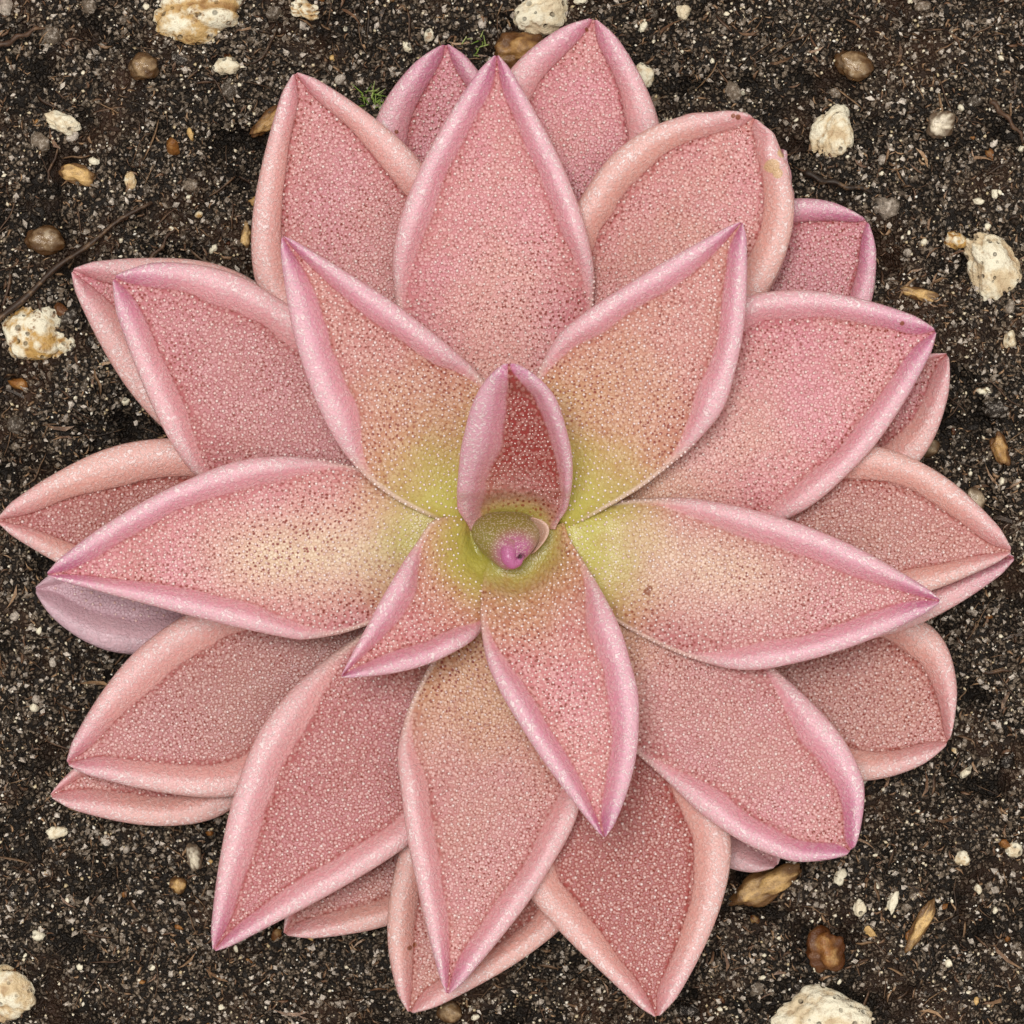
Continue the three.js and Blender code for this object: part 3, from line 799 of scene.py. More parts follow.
@dataclass(frozen=True)
class MixFinish:
    """Moist peat: grey-brown on the crumbs with wet glints, and painted near-black shade in the hollows and
    gaps between them.
    """

    # Painted shade: near black in the low places and between the crumbs.
    hollow: str = "#060403"
    peat: str = "#3b3027"
    crumb: str = "#96846f"
    rust: str = "#573621"
    warp_mm: float = 0.5

    def material(self, effects: Effects) -> Material:
        """Builds the material from the surface's own height mark and packed fine crumbs, painting shade near
        black in the low places and between the crumbs.

        Args:
            effects: The shared effects.

        Returns:
            The material.
        """
        graph = Surface("peat_surface")
        still = graph.place()
        wind = graph.add("ShaderNodeTexNoise", {"Vector": still, "Scale": 1 / (0.5 * MM), "Detail": 1.0})
        warp = graph.vector("MULTIPLY", wind.outputs["Color"], (self.warp_mm * MM,) * 3).outputs[0]
        place = graph.vector("ADD", still, warp).outputs[0]
        grain = graph.group(effects.grain, Vector=place, Size=0.5).outputs["Height"]
        bits = graph.group(effects.dots, Vector=place, Spacing=0.36, Radius=0.7).outputs["Mask"]
        # Painted shade: the gaps between crumbs and the low places of the relief take the near-black colour.
        unshaded_heap = graph.times(bits, graph.between(graph.mark("relief"), 0.1, 0.6, 0.15, 1.0))
        body = graph.mix(unshaded_heap, self.hollow, self.peat)
        body = graph.mix(graph.times(unshaded_heap, graph.between(grain, 0.46, 0.6)), body, self.crumb)
        body = graph.mix(graph.between(graph.noise(place, 7.0), 0.52, 0.7, 0.0, 0.4), body, self.rust)
        height = graph.plus(bits, graph.times(grain, 0.8))
        return graph.dress(Base_Color=body, Roughness=graph.between(grain, 0.35, 0.65, 0.6, 0.3),
                           Normal=graph.bump(height, 0.3, 1.0), Specular_IOR_Level=0.3,
                           Specular_Tint=(1.0, 0.86, 0.74, 1.0))


@dataclass(frozen=True)
class LitterFinish:
    """Loose bits in the mix, each with its own tone on a ramp from dark to light."""

    name: str
    dark: str
    mid: str
    light: str
    roughness: float = 0.45
    grain_mm: float = 0.4
    depth_mm: float = 0.08
    blotch_mm: float = 0.7
    blotch: float = 0.6

    def material(self, effects: Effects) -> Material:
        """Builds the material from each bit's own tone, blotched, with darker edges on the larger bits:
        partly their own dark edges, partly painted shade on the sides below the top.

        Args:
            effects: The shared effects.

        Returns:
            The material.
        """
        graph = Surface(self.name)
        place = graph.place()
        grain = graph.group(effects.grain, Vector=place, Size=self.grain_mm).outputs["Height"]
        cloud = graph.noise(place, self.blotch_mm, 4.0, 0.65)
        tone = graph.mark("tone")
        body = graph.mix(graph.between(tone, 0.1, 0.5), self.dark, self.mid)
        body = graph.mix(graph.between(tone, 0.65, 1.0), body, self.light)
        body = graph.mix(graph.between(cloud, 0.52, 0.64, 0.0, self.blotch), body, self.light)
        body = graph.mix(graph.between(cloud, 0.47, 0.36, 0.0, self.blotch), body, self.dark)
        body = graph.mix(graph.between(grain, 0.35, 0.55, 0.5, 0.0), body, self.dark)
        # Partly the bits' own dark edges, partly painted shade on their sides below the top.
        body = graph.mix(graph.times(graph.mark("rim"), 0.85), body, self.dark)
        return graph.dress(Base_Color=body, Roughness=self.roughness, Specular_Tint=(1.0, 0.9, 0.8, 1.0),
                           Normal=graph.bump(grain, self.depth_mm, 0.9))


@dataclass(frozen=True)
class PerliteFinish:
    """Porous expanded rock: cream, stained golden-brown in its hollows, with dark pores."""

    cream: str = "#f2e7c9"
    gold: str = "#c59a55"
    rust: str = "#8a5a2c"
    pore: str = "#3a2a1b"

    def material(self, effects: Effects) -> Material:
        """Builds the material from noise and each stone's own stain.

        Args:
            effects: The shared effects.

        Returns:
            The material.
        """
        graph = Surface("perlite")
        place = graph.place()
        grain = graph.group(effects.grain, Vector=place, Size=0.9).outputs["Height"]
        blot = graph.noise(place, 2.4, 4.0, 0.65)
        spread = graph.plus(blot, graph.times(graph.mark("crevice"), 0.35))
        stain = graph.times(graph.between(spread, 0.55, 0.7), graph.mark("stain"))
        body = graph.mix(stain, self.cream, self.gold)
        low = graph.times(graph.between(graph.mark("crevice"), 0.62, 0.92), graph.mark("stain"))
        body = graph.mix(graph.times(low, 0.85), body, self.rust)
        body = graph.mix(graph.times(graph.between(grain, 0.46, 0.34), graph.mark("stain")),
                         body, self.rust)
        pores = graph.group(effects.dots, Vector=place, Spacing=0.9, Radius=0.26).outputs["Mask"]
        body = graph.mix(graph.times(pores, 0.55), body, self.pore)
        height = graph.minus(grain, graph.times(pores, 0.7))
        return graph.dress(Base_Color=body, Roughness=0.6, Normal=graph.bump(height, 0.35, 1.0))


@dataclass(frozen=True)
class ClayFinish:
    """Unglazed fired clay: warm and grainy, paler where lime has bloomed, darker where damp."""

    clay: str = "#a9603f"
    light: str = "#c4805c"
    bloom: str = "#d3b49d"
    damp: str = "#7c4630"
    speck: str = "#5f3a2b"

    def material(self, effects: Effects) -> Material:
        """Builds the material from height, noise and the pot's own edge mark.

        Args:
            effects: The shared effects.

        Returns:
            The material.
        """
        graph = Surface("fired_clay")
        place = graph.place()
        height = graph.add("ShaderNodeSeparateXYZ", {0: place}).outputs["Z"]
        grain = graph.group(effects.grain, Vector=place, Size=1.1).outputs["Height"]
        cloud = graph.noise(place, 16.0, 5.0, 0.6)
        body = graph.mix(graph.between(cloud, 0.35, 0.65), self.clay, self.light)
        wet = graph.times(graph.between(height, 0.044, 0.006), graph.between(cloud, 0.3, 0.6, 0.35, 1.0))
        body = graph.mix(graph.times(wet, 0.5), body, self.damp)
        salt = graph.times(graph.between(graph.noise(place, 9.0, 6.0, 0.7), 0.5, 0.66),
                          graph.between(height, 0.03, 0.06, 0.15, 0.8))
        body = graph.mix(salt, body, self.bloom)
        body = graph.mix(graph.times(graph.mark("edge"), 0.45), body, self.bloom)
        fleck = graph.group(effects.dots, Vector=place, Spacing=2.3, Radius=0.16).outputs["Mask"]
        body = graph.mix(graph.times(fleck, 0.6), body, self.speck)
        return graph.dress(Base_Color=body, Roughness=graph.between(grain, 0.3, 0.7, 0.78, 0.95),
                           Normal=graph.bump(grain, 0.16, 0.8), Specular_IOR_Level=0.3)


@dataclass(frozen=True)
class FloorFinish:
    """Plain pale floor."""

    pale: str = "#d9d7d2"

    def material(self) -> Material:
        """Builds the material."""
        return Surface("studio_floor").dress(Base_Color=self.pale, Roughness=0.8)


# The pot
@dataclass
class ClayPot:
    """A pressed square clay pot with a thick band round its rim and one drain hole."""

    height: float = 60.0
    rim_half: float = 52.5
    band_height: float = 13.0
    band_step: float = 2.3
    base_half: float = 42.0
    wall: float = 4.9
    base_wall: float = 3.9
    floor: float = 5.0
    corner: float = 16.5
    base_corner: float = 13.0
    edge: float = 0.8
    drain: float = 5.0
    drain_bevel: float = 0.5
    floor_ring: float = 20.0
    foot_ring: float = 22.0
    side_steps: int = 14
    arc_steps: int = 16

    def outline(self, half: Array, corner: Array) -> tuple[Array, Array]:
        """Rounded squares: straight sides, and quarter circles at the corners.

        Args:
            half: Half-widths, one for each ring.
            corner: Corner radii.

        Returns:
            The rings' x and y, (rings, points).
        """
        straight = (half - corner)[:, None]
        arc = np.linspace(0, np.pi / 2, self.arc_steps + 1)[None]
        run = np.linspace(-1, 1, self.side_steps + 1)[None, 1:-1]
        x = np.hstack([half[:, None] + 0 * run, straight + corner[:, None] * np.cos(arc)])
        y = np.hstack([straight * run, straight + corner[:, None] * np.sin(arc)])
        xs, ys = [], []
        for _ in range(4):
            xs.append(x)
            ys.append(y)
            x, y = -y, x
        return np.hstack(xs), np.hstack(ys)

    def inner(self, height: Array) -> tuple[Array, Array]:
        """Half-width and corner radius of the inner wall at a height, straight from base to rim.

        Args:
            height: Height over the pot's foot.

        Returns:
            Half-width and corner radius.
        """
        share = (height - self.floor) / (self.height - self.floor)
        half = self.base_half - self.base_wall + share * (
            self.rim_half - self.wall - self.base_half + self.base_wall)
        corner = self.base_corner - self.base_wall + share * (
            self.corner - self.wall - self.base_corner + self.base_wall)
        return half, corner

    def build(self, finish: Material) -> None:
        """Lofts the pot's section round its rounded squares, with quarter-round edges.

        Args:
            finish: Its material.
        """
        band_foot = self.height - self.band_height
        bend = np.linspace(0, np.pi / 2, 5)
        run = np.linspace(0, 1, 14)[1:-1]
        e = self.edge
        section: list[Array] = []

        def arc(centre: float, level: float, angles: Array) -> None:
            """Adds a rounded edge."""
            section.append(np.stack([centre + e * np.cos(angles), level + e * np.sin(angles), angles**0], -1))

        def line(x0: float, h0: float, x1: float, h1: float) -> None:
            """Adds a straight run."""
            section.append(np.stack([x0 + (x1 - x0) * run, h0 + (h1 - h0) * run, 0 * run], -1))

        slope, low = self.rim_half - self.band_step, self.base_half - self.base_wall
        arc(self.base_half - e, e, bend - np.pi / 2)
        line(self.base_half, e, slope, band_foot)
        section.append(np.array([[slope, band_foot, 0.0]]))
        arc(self.rim_half - e, band_foot + e, bend - np.pi / 2)
        line(self.rim_half, band_foot + e, self.rim_half, self.height - e)
        arc(self.rim_half - e, self.height - e, bend)
        mouth = float(self.inner(np.array(self.height - e))[0])
        arc(mouth + e, self.height - e, bend + np.pi / 2)
        line(mouth, self.height - e, low, self.floor)
        section.append(np.array([[low, self.floor, 0.0]]))
        half, level, edge = np.concatenate(section).T
        share = np.clip((half - self.base_half) / (self.rim_half - self.base_half), -1, 1)
        corner = np.maximum(self.base_corner + (self.corner - self.base_corner) * share, 1.0)
        x, y = self.outline(half, corner)
        hole = np.stack([x[-1], y[-1]]) / np.hypot(x[-1], y[-1])
        bevel = self.drain_bevel
        rings = np.array([(self.floor_ring, self.floor), (self.drain + bevel, self.floor),
                          (self.drain, self.floor - bevel), (self.drain, bevel),
                          (self.drain + bevel, 0.0), (self.foot_ring, 0.0)])
        x = np.vstack([x, rings[:, :1] * hole[0]])
        y = np.vstack([y, rings[:, :1] * hole[1]])
        z = np.concatenate([level, rings[:, 1]])[:, None] + 0 * x
        edge = np.append(edge, np.zeros(len(rings)))
        shape = Shape.grid(np.stack([x, y, z], -1), closed_rows=True, edge=edge[:, None])
        shape.outward().build("clay_pot", finish, "clay", "pot")


# The potting mix
class Kind(Enum):
    """What a single bit in the surface is."""

    PERLITE = "perlite"
    PEBBLE = "pebble"
    BARK = "bark"


@dataclass(frozen=True)
class Bit:
    """One larger bit in the surface: its place, half-sizes, turn in degrees, kind and tone."""

    x: float
    y: float
    size: tuple[float, float, float]
    turn: float
    kind: Kind
    tone: float = 0.6


@dataclass(frozen=True)
class Litter:
    """One kind of small bit that is strewn over the surface.

    The half-sizes run from the first of size to the second, in millimetres, and small ones are the
    more common. flat and thin are a bit's height and width as shares of that, long is how much
    longer it can be, rough its unevenness, sunk the share by which its middle lies under the
    surface, and tumble the spread of its tilts in radians.
    """

    name: str
    shape: Template
    count: int
    seed: int
    size: tuple[float, float]
    flat: float = 0.8
    long: float = 0.5
    rough: float = 0.3
    sunk: float = 0.25
    slot: str = "mix"
    smooth: bool = False
    tumble: float = 0.5
    thin: float = 1.0


@dataclass
class PottingMix:
    """Peat, bark and grit that fill the pot, with the bits that lie in the surface."""

    pot: ClayPot
    level: float = 56.5
    relief: float = 0.4
    gap: float = 0.3
    field_half: float = 46.0
    corner_middle: float = 35.4
    corner_reach: float = 10.6
    clear: float = 25.0
    segments: int = 130
    hollow: float = 0.46
    waves: tuple[tuple[float, float, float], ...] = (
        (0.19, 0.11, 0.0), (-0.07, 0.23, 1.3), (0.31, -0.27, 0.6))
    bits: tuple[Bit, ...] = (
        Bit(0.6, 39.4, (2.0, 1.5, 1.1), 15, Kind.BARK, 0.75),
        Bit(-36.3, 33.6, (1.3, 0.75, 0.8), -20, Kind.PERLITE, 0.9),
        Bit(-22.9, 38.1, (1.0, 0.65, 0.6), 5, Kind.PERLITE, 0.9),
        Bit(-29.7, 38.1, (1.2, 1.1, 0.9), 30, Kind.PEBBLE, 0.6),
        Bit(-37.6, 24.1, (1.55, 1.15, 0.8), -10, Kind.PEBBLE, 0.35),
        Bit(-35.0, 29.4, (1.5, 0.8, 0.5), -18, Kind.BARK, 0.95),
        Bit(-30.8, 28.8, (0.45, 0.85, 0.4), 10, Kind.PERLITE, 0.5),
        Bit(-16.7, 42.7, (1.2, 0.75, 0.6), -25, Kind.PERLITE, 0.4),
        Bit(13.8, 42.5, (0.55, 0.6, 0.5), 0, Kind.PERLITE, 0.9),
        Bit(10.6, 37.4, (0.85, 1.0, 0.6), 20, Kind.PERLITE, 0.6),
        Bit(27.6, 38.2, (1.6, 1.15, 0.9), -15, Kind.PEBBLE, 0.45),
        Bit(34.5, 33.4, (1.2, 1.0, 0.8), 40, Kind.PEBBLE, 0.95),
        Bit(35.7, 24.1, (0.85, 0.7, 0.5), 0, Kind.PERLITE, 0.2),
        Bit(32.9, 19.7, (1.6, 0.5, 0.35), -18, Kind.BARK, 0.95),
        Bit(40.1, 16.1, (0.55, 0.75, 0.5), 0, Kind.PERLITE, 0.8),
        Bit(39.3, 7.2, (0.7, 1.3, 0.5), 20, Kind.BARK, 0.8),
        Bit(37.3, 3.2, (0.8, 1.05, 0.6), 25, Kind.PEBBLE, 0.8),
        Bit(33.4, 7.4, (1.05, 0.8, 0.6), 0, Kind.PEBBLE, 0.7),
        Bit(20.4, -27.9, (2.8, 1.15, 0.9), 26, Kind.BARK, 0.9),
        Bit(25.2, -33.1, (1.5, 1.7, 0.9), 0, Kind.BARK, 0.55),
        Bit(32.9, -31.1, (2.1, 0.55, 0.45), 62, Kind.BARK, 1.0),
        Bit(36.3, -25.7, (0.6, 0.6, 0.5), 0, Kind.PERLITE, 0.7),
        Bit(30.7, -29.2, (0.4, 0.9, 0.4), -15, Kind.PERLITE, 1.0),
        Bit(28.0, -29.7, (0.5, 0.65, 0.4), 10, Kind.PERLITE, 1.0),
        Bit(40.5, -25.0, (0.7, 0.7, 0.5), 0, Kind.PERLITE, 0.8),
        Bit(-36.7, -23.6, (0.8, 0.5, 0.4), 0, Kind.PERLITE, 0.9),
        Bit(-25.6, -25.6, (0.6, 1.15, 0.5), 8, Kind.PEBBLE, 1.0),
        Bit(-26.9, -27.9, (0.65, 0.65, 0.5), 0, Kind.BARK, 0.9),
        Bit(-5.0, -38.1, (1.0, 0.9, 0.7), 0, Kind.PEBBLE, 0.5),
        Bit(-19.5, 33.8, (1.8, 0.7, 0.5), 40, Kind.BARK, 0.8),
        Bit(-21.5, 24.4, (0.4, 1.2, 0.35), -8, Kind.BARK, 1.0),
        Bit(-29.5, 22.0, (0.9, 0.5, 0.35), -25, Kind.BARK, 0.55),
    )

    def base_height(self, x: Number, y: Number) -> Array:
        """The solid's own surface: three crossing waves, calm beside the crown."""
        wave = sum(np.sin(u * x + v * y + phase) for u, v, phase in self.waves)
        return self.level + self.relief / len(self.waves) * wave * smoothstep(np.hypot(x, y), 4, 18)

    def crumbs(self, x: Number, y: Number) -> Array:
        """Relief of packed crumbs from 0 to 1: clods, crumbs and fine grit laid over each other.

        Args:
            x: First coordinate of each place.
            y: Second coordinate.

        Returns:
            The relief there.
        """
        bend_x = x + 0.7 * lattice_noise(x, y, 2.6, 5)
        bend_y = y + 0.7 * lattice_noise(x, y, 2.6, 6)
        clods = pebble_relief(bend_x, bend_y, 4.6, 11)
        lumps = pebble_relief(bend_x, bend_y, 1.9, 12)
        return np.clip(0.6 * clods + 0.42 * lumps, 0, 1)

    def surface(self, x: Number, y: Number) -> Array:
        """Height of the finished surface: the solid's, with the crumbs' relief about it."""
        near_stem = smoothstep(np.hypot(x, y), 6, 14)
        return self.base_height(x, y) + (1.9 * self.crumbs(x, y) - 1.25) * near_stem

    def build_body(self, finish: Material) -> None:
        """The block of mix: rounded-square rings from the hole in the middle to the wall and down.

        Args:
            finish: The block's material.
        """
        half, corner = self.pot.inner(np.array([self.level]))
        rim_x, rim_y = self.pot_outline(half - self.gap, corner - self.gap, self.segments)
        share = np.concatenate([np.linspace(0.075, 0.5, 14), np.linspace(0.5, 1.0, 80)[1:]])
        reach = np.hypot(rim_x, rim_y)
        rounding = smoothstep(share, 0.1, 0.8)[:, None]
        scale = rounding * share[:, None] + (1 - rounding) * share[:, None] * reach.mean() / reach
        x, y = rim_x * scale, rim_y * scale
        z = self.surface(x, y)
        # Crumb relief, kept as a mark from which the material paints shade into the low places.
        relief = self.crumbs(x, y)
        rows, marks = [np.stack([x, y, z], -1)], [relief]
        for height in (self.level - 3, 30.0, self.pot.floor + self.gap):
            h, c = self.pot.inner(np.array([height]))
            low_x, low_y = self.pot_outline(h - self.gap, c - self.gap, self.segments)
            rows.append(np.stack([low_x, low_y, np.full_like(low_x, height)], -1)[None])
            marks.append(np.full((1, len(low_x)), 0.4))
        body = np.concatenate(rows)
        Shape.grid(body, relief=np.concatenate(marks)).outward().build(
            "potting_mix_body", finish, "mix", "potting_mix")

    def pot_outline(self, half: Array, corner: Array, per_quarter: int) -> tuple[Array, Array]:
        """One rounded square with evenly turned points.

        Args:
            half: Its half-width.
            corner: Its corner radius.
            per_quarter: Points to each quarter turn.

        Returns:
            x and y of the points.
        """
        h, c = float(half[0]), float(corner[0])
        angle = (np.arange(4 * per_quarter) + 0.5) / (4 * per_quarter) * 2 * np.pi
        fold = (angle + np.pi / 4) % (np.pi / 2) - np.pi / 4
        straight = h - c
        flat = h / np.cos(fold)
        along = np.abs(fold)
        middle = np.hypot(straight, straight)
        turn = np.pi / 4 - along
        root = np.sqrt(np.clip(c**2 - (middle * np.sin(turn)) ** 2, 0, None))
        rounded = middle * np.cos(turn) + root
        radius = np.where(h * np.tan(along) <= straight, flat, rounded)
        return radius * np.cos(angle), radius * np.sin(angle)

    def random_places(self, count: int, seed: int) -> tuple[Array, Array, np.random.Generator]:
        """Random places in the surface, off the rosette's middle and off the corners.

        Args:
            count: How many to draw.
            seed: Seed of the draw.

        Returns:
            x, y and the generator for further draws.
        """
        random = np.random.default_rng(seed)
        x, y = (random.random((2, count * 2)) * 2 - 1) * self.field_half
        past_x, past_y = (np.maximum(np.abs(v) - self.corner_middle, 0) for v in (x, y))
        keep = (np.hypot(x, y) > self.clear) & (np.hypot(past_x, past_y) < self.corner_reach)
        return x[keep][:count], y[keep][:count], random

    def scatter(self, litter: Litter, finish: Material) -> None:
        """Strews one kind of litter over the surface.

        Args:
            litter: The kind.
            finish: Its material.
        """
        x, y, random = self.random_places(litter.count, litter.seed)
        filled = self.crumbs(x, y) + 0.35 * random.random(len(x)) > self.hollow
        x, y = x[filled], y[filled]
        n = len(x)
        least, most = litter.size
        half = least + (most - least) * random.random(n) ** 2.5
        sizes = np.stack([half * (1 + litter.long * random.random(n)), half * litter.thin,
                          half * litter.flat * litter.thin], -1)
        turns = np.stack([random.normal(0, 2 * litter.tumble, n), random.normal(0, litter.tumble, n),
                          random.random(n) * 2 * np.pi], -1)
        places = np.stack([x, y, self.surface(x, y) - litter.sunk * half], -1)
        shape = scattered(litter.shape, places, sizes, turns, litter.rough, litter.seed,
                          tone=random.random(n), stain=random.random(n))
        shape.build(litter.name, finish, litter.slot, smooth=litter.smooth)

    def build_fibres(self, finish: Material, count: int = 800, seed: int = 41) -> None:
        """Fibres and rootlets: three-sided threads along shallow arcs, thinner towards both ends.

        Args:
            finish: Their material.
            count: How many are drawn.
            seed: Seed of the draw.
        """
        x, y, random = self.random_places(count, seed)
        n, steps, sides = len(x), 7, 3
        length = 0.9 + 3.0 * random.random(n) ** 2
        heading = random.random(n) * 2 * np.pi
        sag = random.normal(0, 0.045, n) * length
        thick = 0.045 + 0.13 * random.random(n) ** 3
        t = np.linspace(-0.5, 0.5, steps)[None]
        along = length[:, None] * t
        wiggle = 0.05 * length[:, None] * random.normal(0, 0.3, (n, 1)) * np.sin(t * 9)
        side = sag[:, None] * (4 * t**2 - 0.5) + wiggle
        px = x[:, None] + along * np.cos(heading)[:, None] - side * np.sin(heading)[:, None]
        py = y[:, None] + along * np.sin(heading)[:, None] + side * np.cos(heading)[:, None]
        smooth_height = (self.surface(px, py) + self.surface(x, y)[:, None]) / 2
        pz = smooth_height + thick[:, None] * 0.8 + 0.1 + random.random((n, 1)) * 0.3
        radius = thick[:, None] * (1 - 0.75 * np.abs(2 * t) ** 3)
        angle = around(sides)
        ring_side = radius[..., None] * np.cos(angle)
        ring_up = radius[..., None] * np.sin(angle)
        points = np.stack([px[..., None] - ring_side * np.sin(heading)[:, None, None],
                           py[..., None] + ring_side * np.cos(heading)[:, None, None],
                           pz[..., None] + ring_up], -1)
        index = np.arange(steps * sides).reshape(steps, sides)
        quads = np.stack([index[:-1], np.roll(index[:-1], -1, 1), np.roll(index[1:], -1, 1), index[1:]], -1)
        starts = (np.arange(n) * steps * sides)[:, None, None]
        walls = (quads.reshape(-1, 4)[None] + starts).reshape(-1, 4)
        ends = np.stack([index[0][::-1], index[-1]])[None] + starts
        shape = Shape(points.reshape(-1, 3), [walls, ends.reshape(-1, 3)],
                      {"tone": np.repeat(random.random(n), steps * sides)})
        shape.build("peat_fibres", finish, "mix")

    def lump(self, bit: Bit, divisions: int, seed: int) -> Shape:
        """One uneven lump: a ball stretched to its sizes and pushed by soft waves of its own place.

        Args:
            bit: The bit.
            divisions: How often the ball's faces are split.
            seed: Shift of the waves.

        Returns:
            The lump in its place.
        """
        points, faces = ball(divisions)
        x, y, z = points.T
        is_pebble = bit.kind is Kind.PEBBLE
        push = (0.16 * np.sin(x * 3.3 + seed) * np.sin(y * 2.9 + 1.7 * seed)
                + 0.12 * np.sin(z * 4.7 + x * 5.3 + seed) + 0.06 * np.sin(y * 11 + z * 9 + 2.3 * seed))
        ragged = lattice_noise(x * 4 + z * 3, y * 4 - z * 2, 1.0, seed)
        crumbly = pebble_relief(x * 3 + 9, y * 3 + z * 2 + 9, 1.0, seed)
        push = push * (0.55 if is_pebble else 0.9)
        push = push + (0.05 if is_pebble else 0.09) * ragged
        push = push + (0.06 if is_pebble else 0.14) * (crumbly - 0.5)
        shaped = points * (1 + push[:, None]) * np.array(bit.size)
        level = float(self.surface(bit.x, bit.y))
        moved = shaped @ turned(bit.turn).T + np.array([bit.x, bit.y, level + 0.35 * bit.size[2]])
        # Darker away from the top: partly the bit's own dark edge, partly painted shade on its sides.
        rim = 1 - smoothstep(z + 0.3 * ragged, 0.45, 0.98)
        return Shape(moved, [faces], {"tone": bit.tone + 0 * z, "stain": 1.2 - bit.tone + 0 * z,
                                      "crevice": 1 - crumbly, "rim": rim})

    def build_bits(self, finishes: dict[Kind, Material]) -> None:
        """The larger single bits, one piece for each kind.

        Args:
            finishes: The material of each kind.
        """
        for kind in (Kind.PERLITE, Kind.PEBBLE, Kind.BARK):
            lumps = [self.lump(bit, 3 if max(bit.size) > 1.1 else 2, 3 + number)
                     for number, bit in enumerate(self.bits) if bit.kind is kind]
            slot = "perlite" if kind is Kind.PERLITE else "mix"
            Shape.joined(lumps).build(f"{kind.value}_bits", finishes[kind], slot)

    def stick(self, start: tuple[float, float], end: tuple[float, float], radius: float, bow: float,
              tone: float) -> Shape:
        """A twig that lies on the surface: a seven-sided tube along a shallow bow, with a few knots.

        Args:
            start: Its thick end.
            end: Its thin end.
            radius: Radius at the thick end.
            bow: Height of the bow as a share of the length.
            tone: Its tone.

        Returns:
            The twig.
        """
        t = np.linspace(0, 1, 26)
        (x0, y0), (x1, y1) = start, end
        length = math.hypot(x1 - x0, y1 - y0)
        ux, uy = (x1 - x0) / length, (y1 - y0) / length
        side = bow * length * 4 * t * (1 - t) + 0.12 * np.sin(t * 17)
        x, y = x0 + ux * length * t - uy * side, y0 + uy * length * t + ux * side
        z = self.base_height(x, y) + 0.75 + radius * 0.4 + 0.1 * np.sin(t * 11)
        angle = around(7)
        girth = radius * (1 - 0.45 * t + 0.12 * np.sin(t * 31)) * smoothstep(t, -0.05, 0.05)
        rows = np.stack([x[:, None] - uy * girth[:, None] * np.cos(angle),
                         y[:, None] + ux * girth[:, None] * np.cos(angle),
                         z[:, None] + girth[:, None] * np.sin(angle)], -1)
        return Shape.grid(rows, tone=tone).outward()

    def build_twigs(self, finish: Material) -> None:
        """Two twigs and some short pieces of stalk.

        Args:
            finish: Their material.
        """
        twigs = [self.stick((-42.5, 16.2), (-29.0, 27.2), 0.3, 0.03, 0.25),
                 self.stick((23.4, 29.4), (28.9, 28.0), 0.32, -0.03, 0.05),
                 self.stick((-41.5, 39.4), (-37.6, 41.2), 0.26, 0.02, 0.55),
                 self.stick((-30.4, 21.2), (-27.2, 25.0), 0.2, -0.04, 0.4),
                 self.stick((38.4, 35.2), (41.2, 32.0), 0.25, 0.05, 0.5)]
        Shape.joined(twigs).build("twigs", finish, "mix")

    def build_moss(self, finish: Material) -> None:
        """Two moss sprigs: needle leaves round each stem's tip, every one a tapered thread.

        Args:
            finish: Their material.
        """
        random = np.random.default_rng(77)
        leaves = []
        for cx, cy, count, reach in ((-11.2, 35.4, 30, 2.1), (-2.6, 39.8, 12, 1.7)):
            foot = float(self.base_height(cx, cy))
            for _ in range(count):
                heading, lean = random.random() * 2 * np.pi, 0.25 + 0.55 * random.random()
                length = reach * (0.55 + 0.45 * random.random())
                t = np.linspace(0, 1, 6)
                out = length * lean * t
                up = length * np.sqrt(1 - lean**2) * (t - 0.25 * t**2)
                x = cx + 0.5 * random.normal() + out * math.cos(heading)
                y = cy + 0.5 * random.normal() + out * math.sin(heading)
                girth = 0.075 * (1 - t) + 0.012
                angle = np.arange(4) * np.pi / 2
                rows = np.stack([x[:, None] + girth[:, None] * np.cos(angle),
                                 y[:, None] + girth[:, None] * np.sin(angle),
                                 (foot + up)[:, None] + 0 * angle], -1)
                leaves.append(Shape.grid(rows, tone=random.random()).outward())
        Shape.joined(leaves).build("moss_sprigs", finish, "mix")


@dataclass(frozen=True)
class Stone:
    """One of the large lumps of perlite: place, half-sizes, turn in degrees, shape and stain."""

    x: float
    y: float
    size: tuple[float, float, float]
    turn: float
    seed: float
    stain: float
    bend: float = 0.0
    nub: tuple[float, float] | None = None


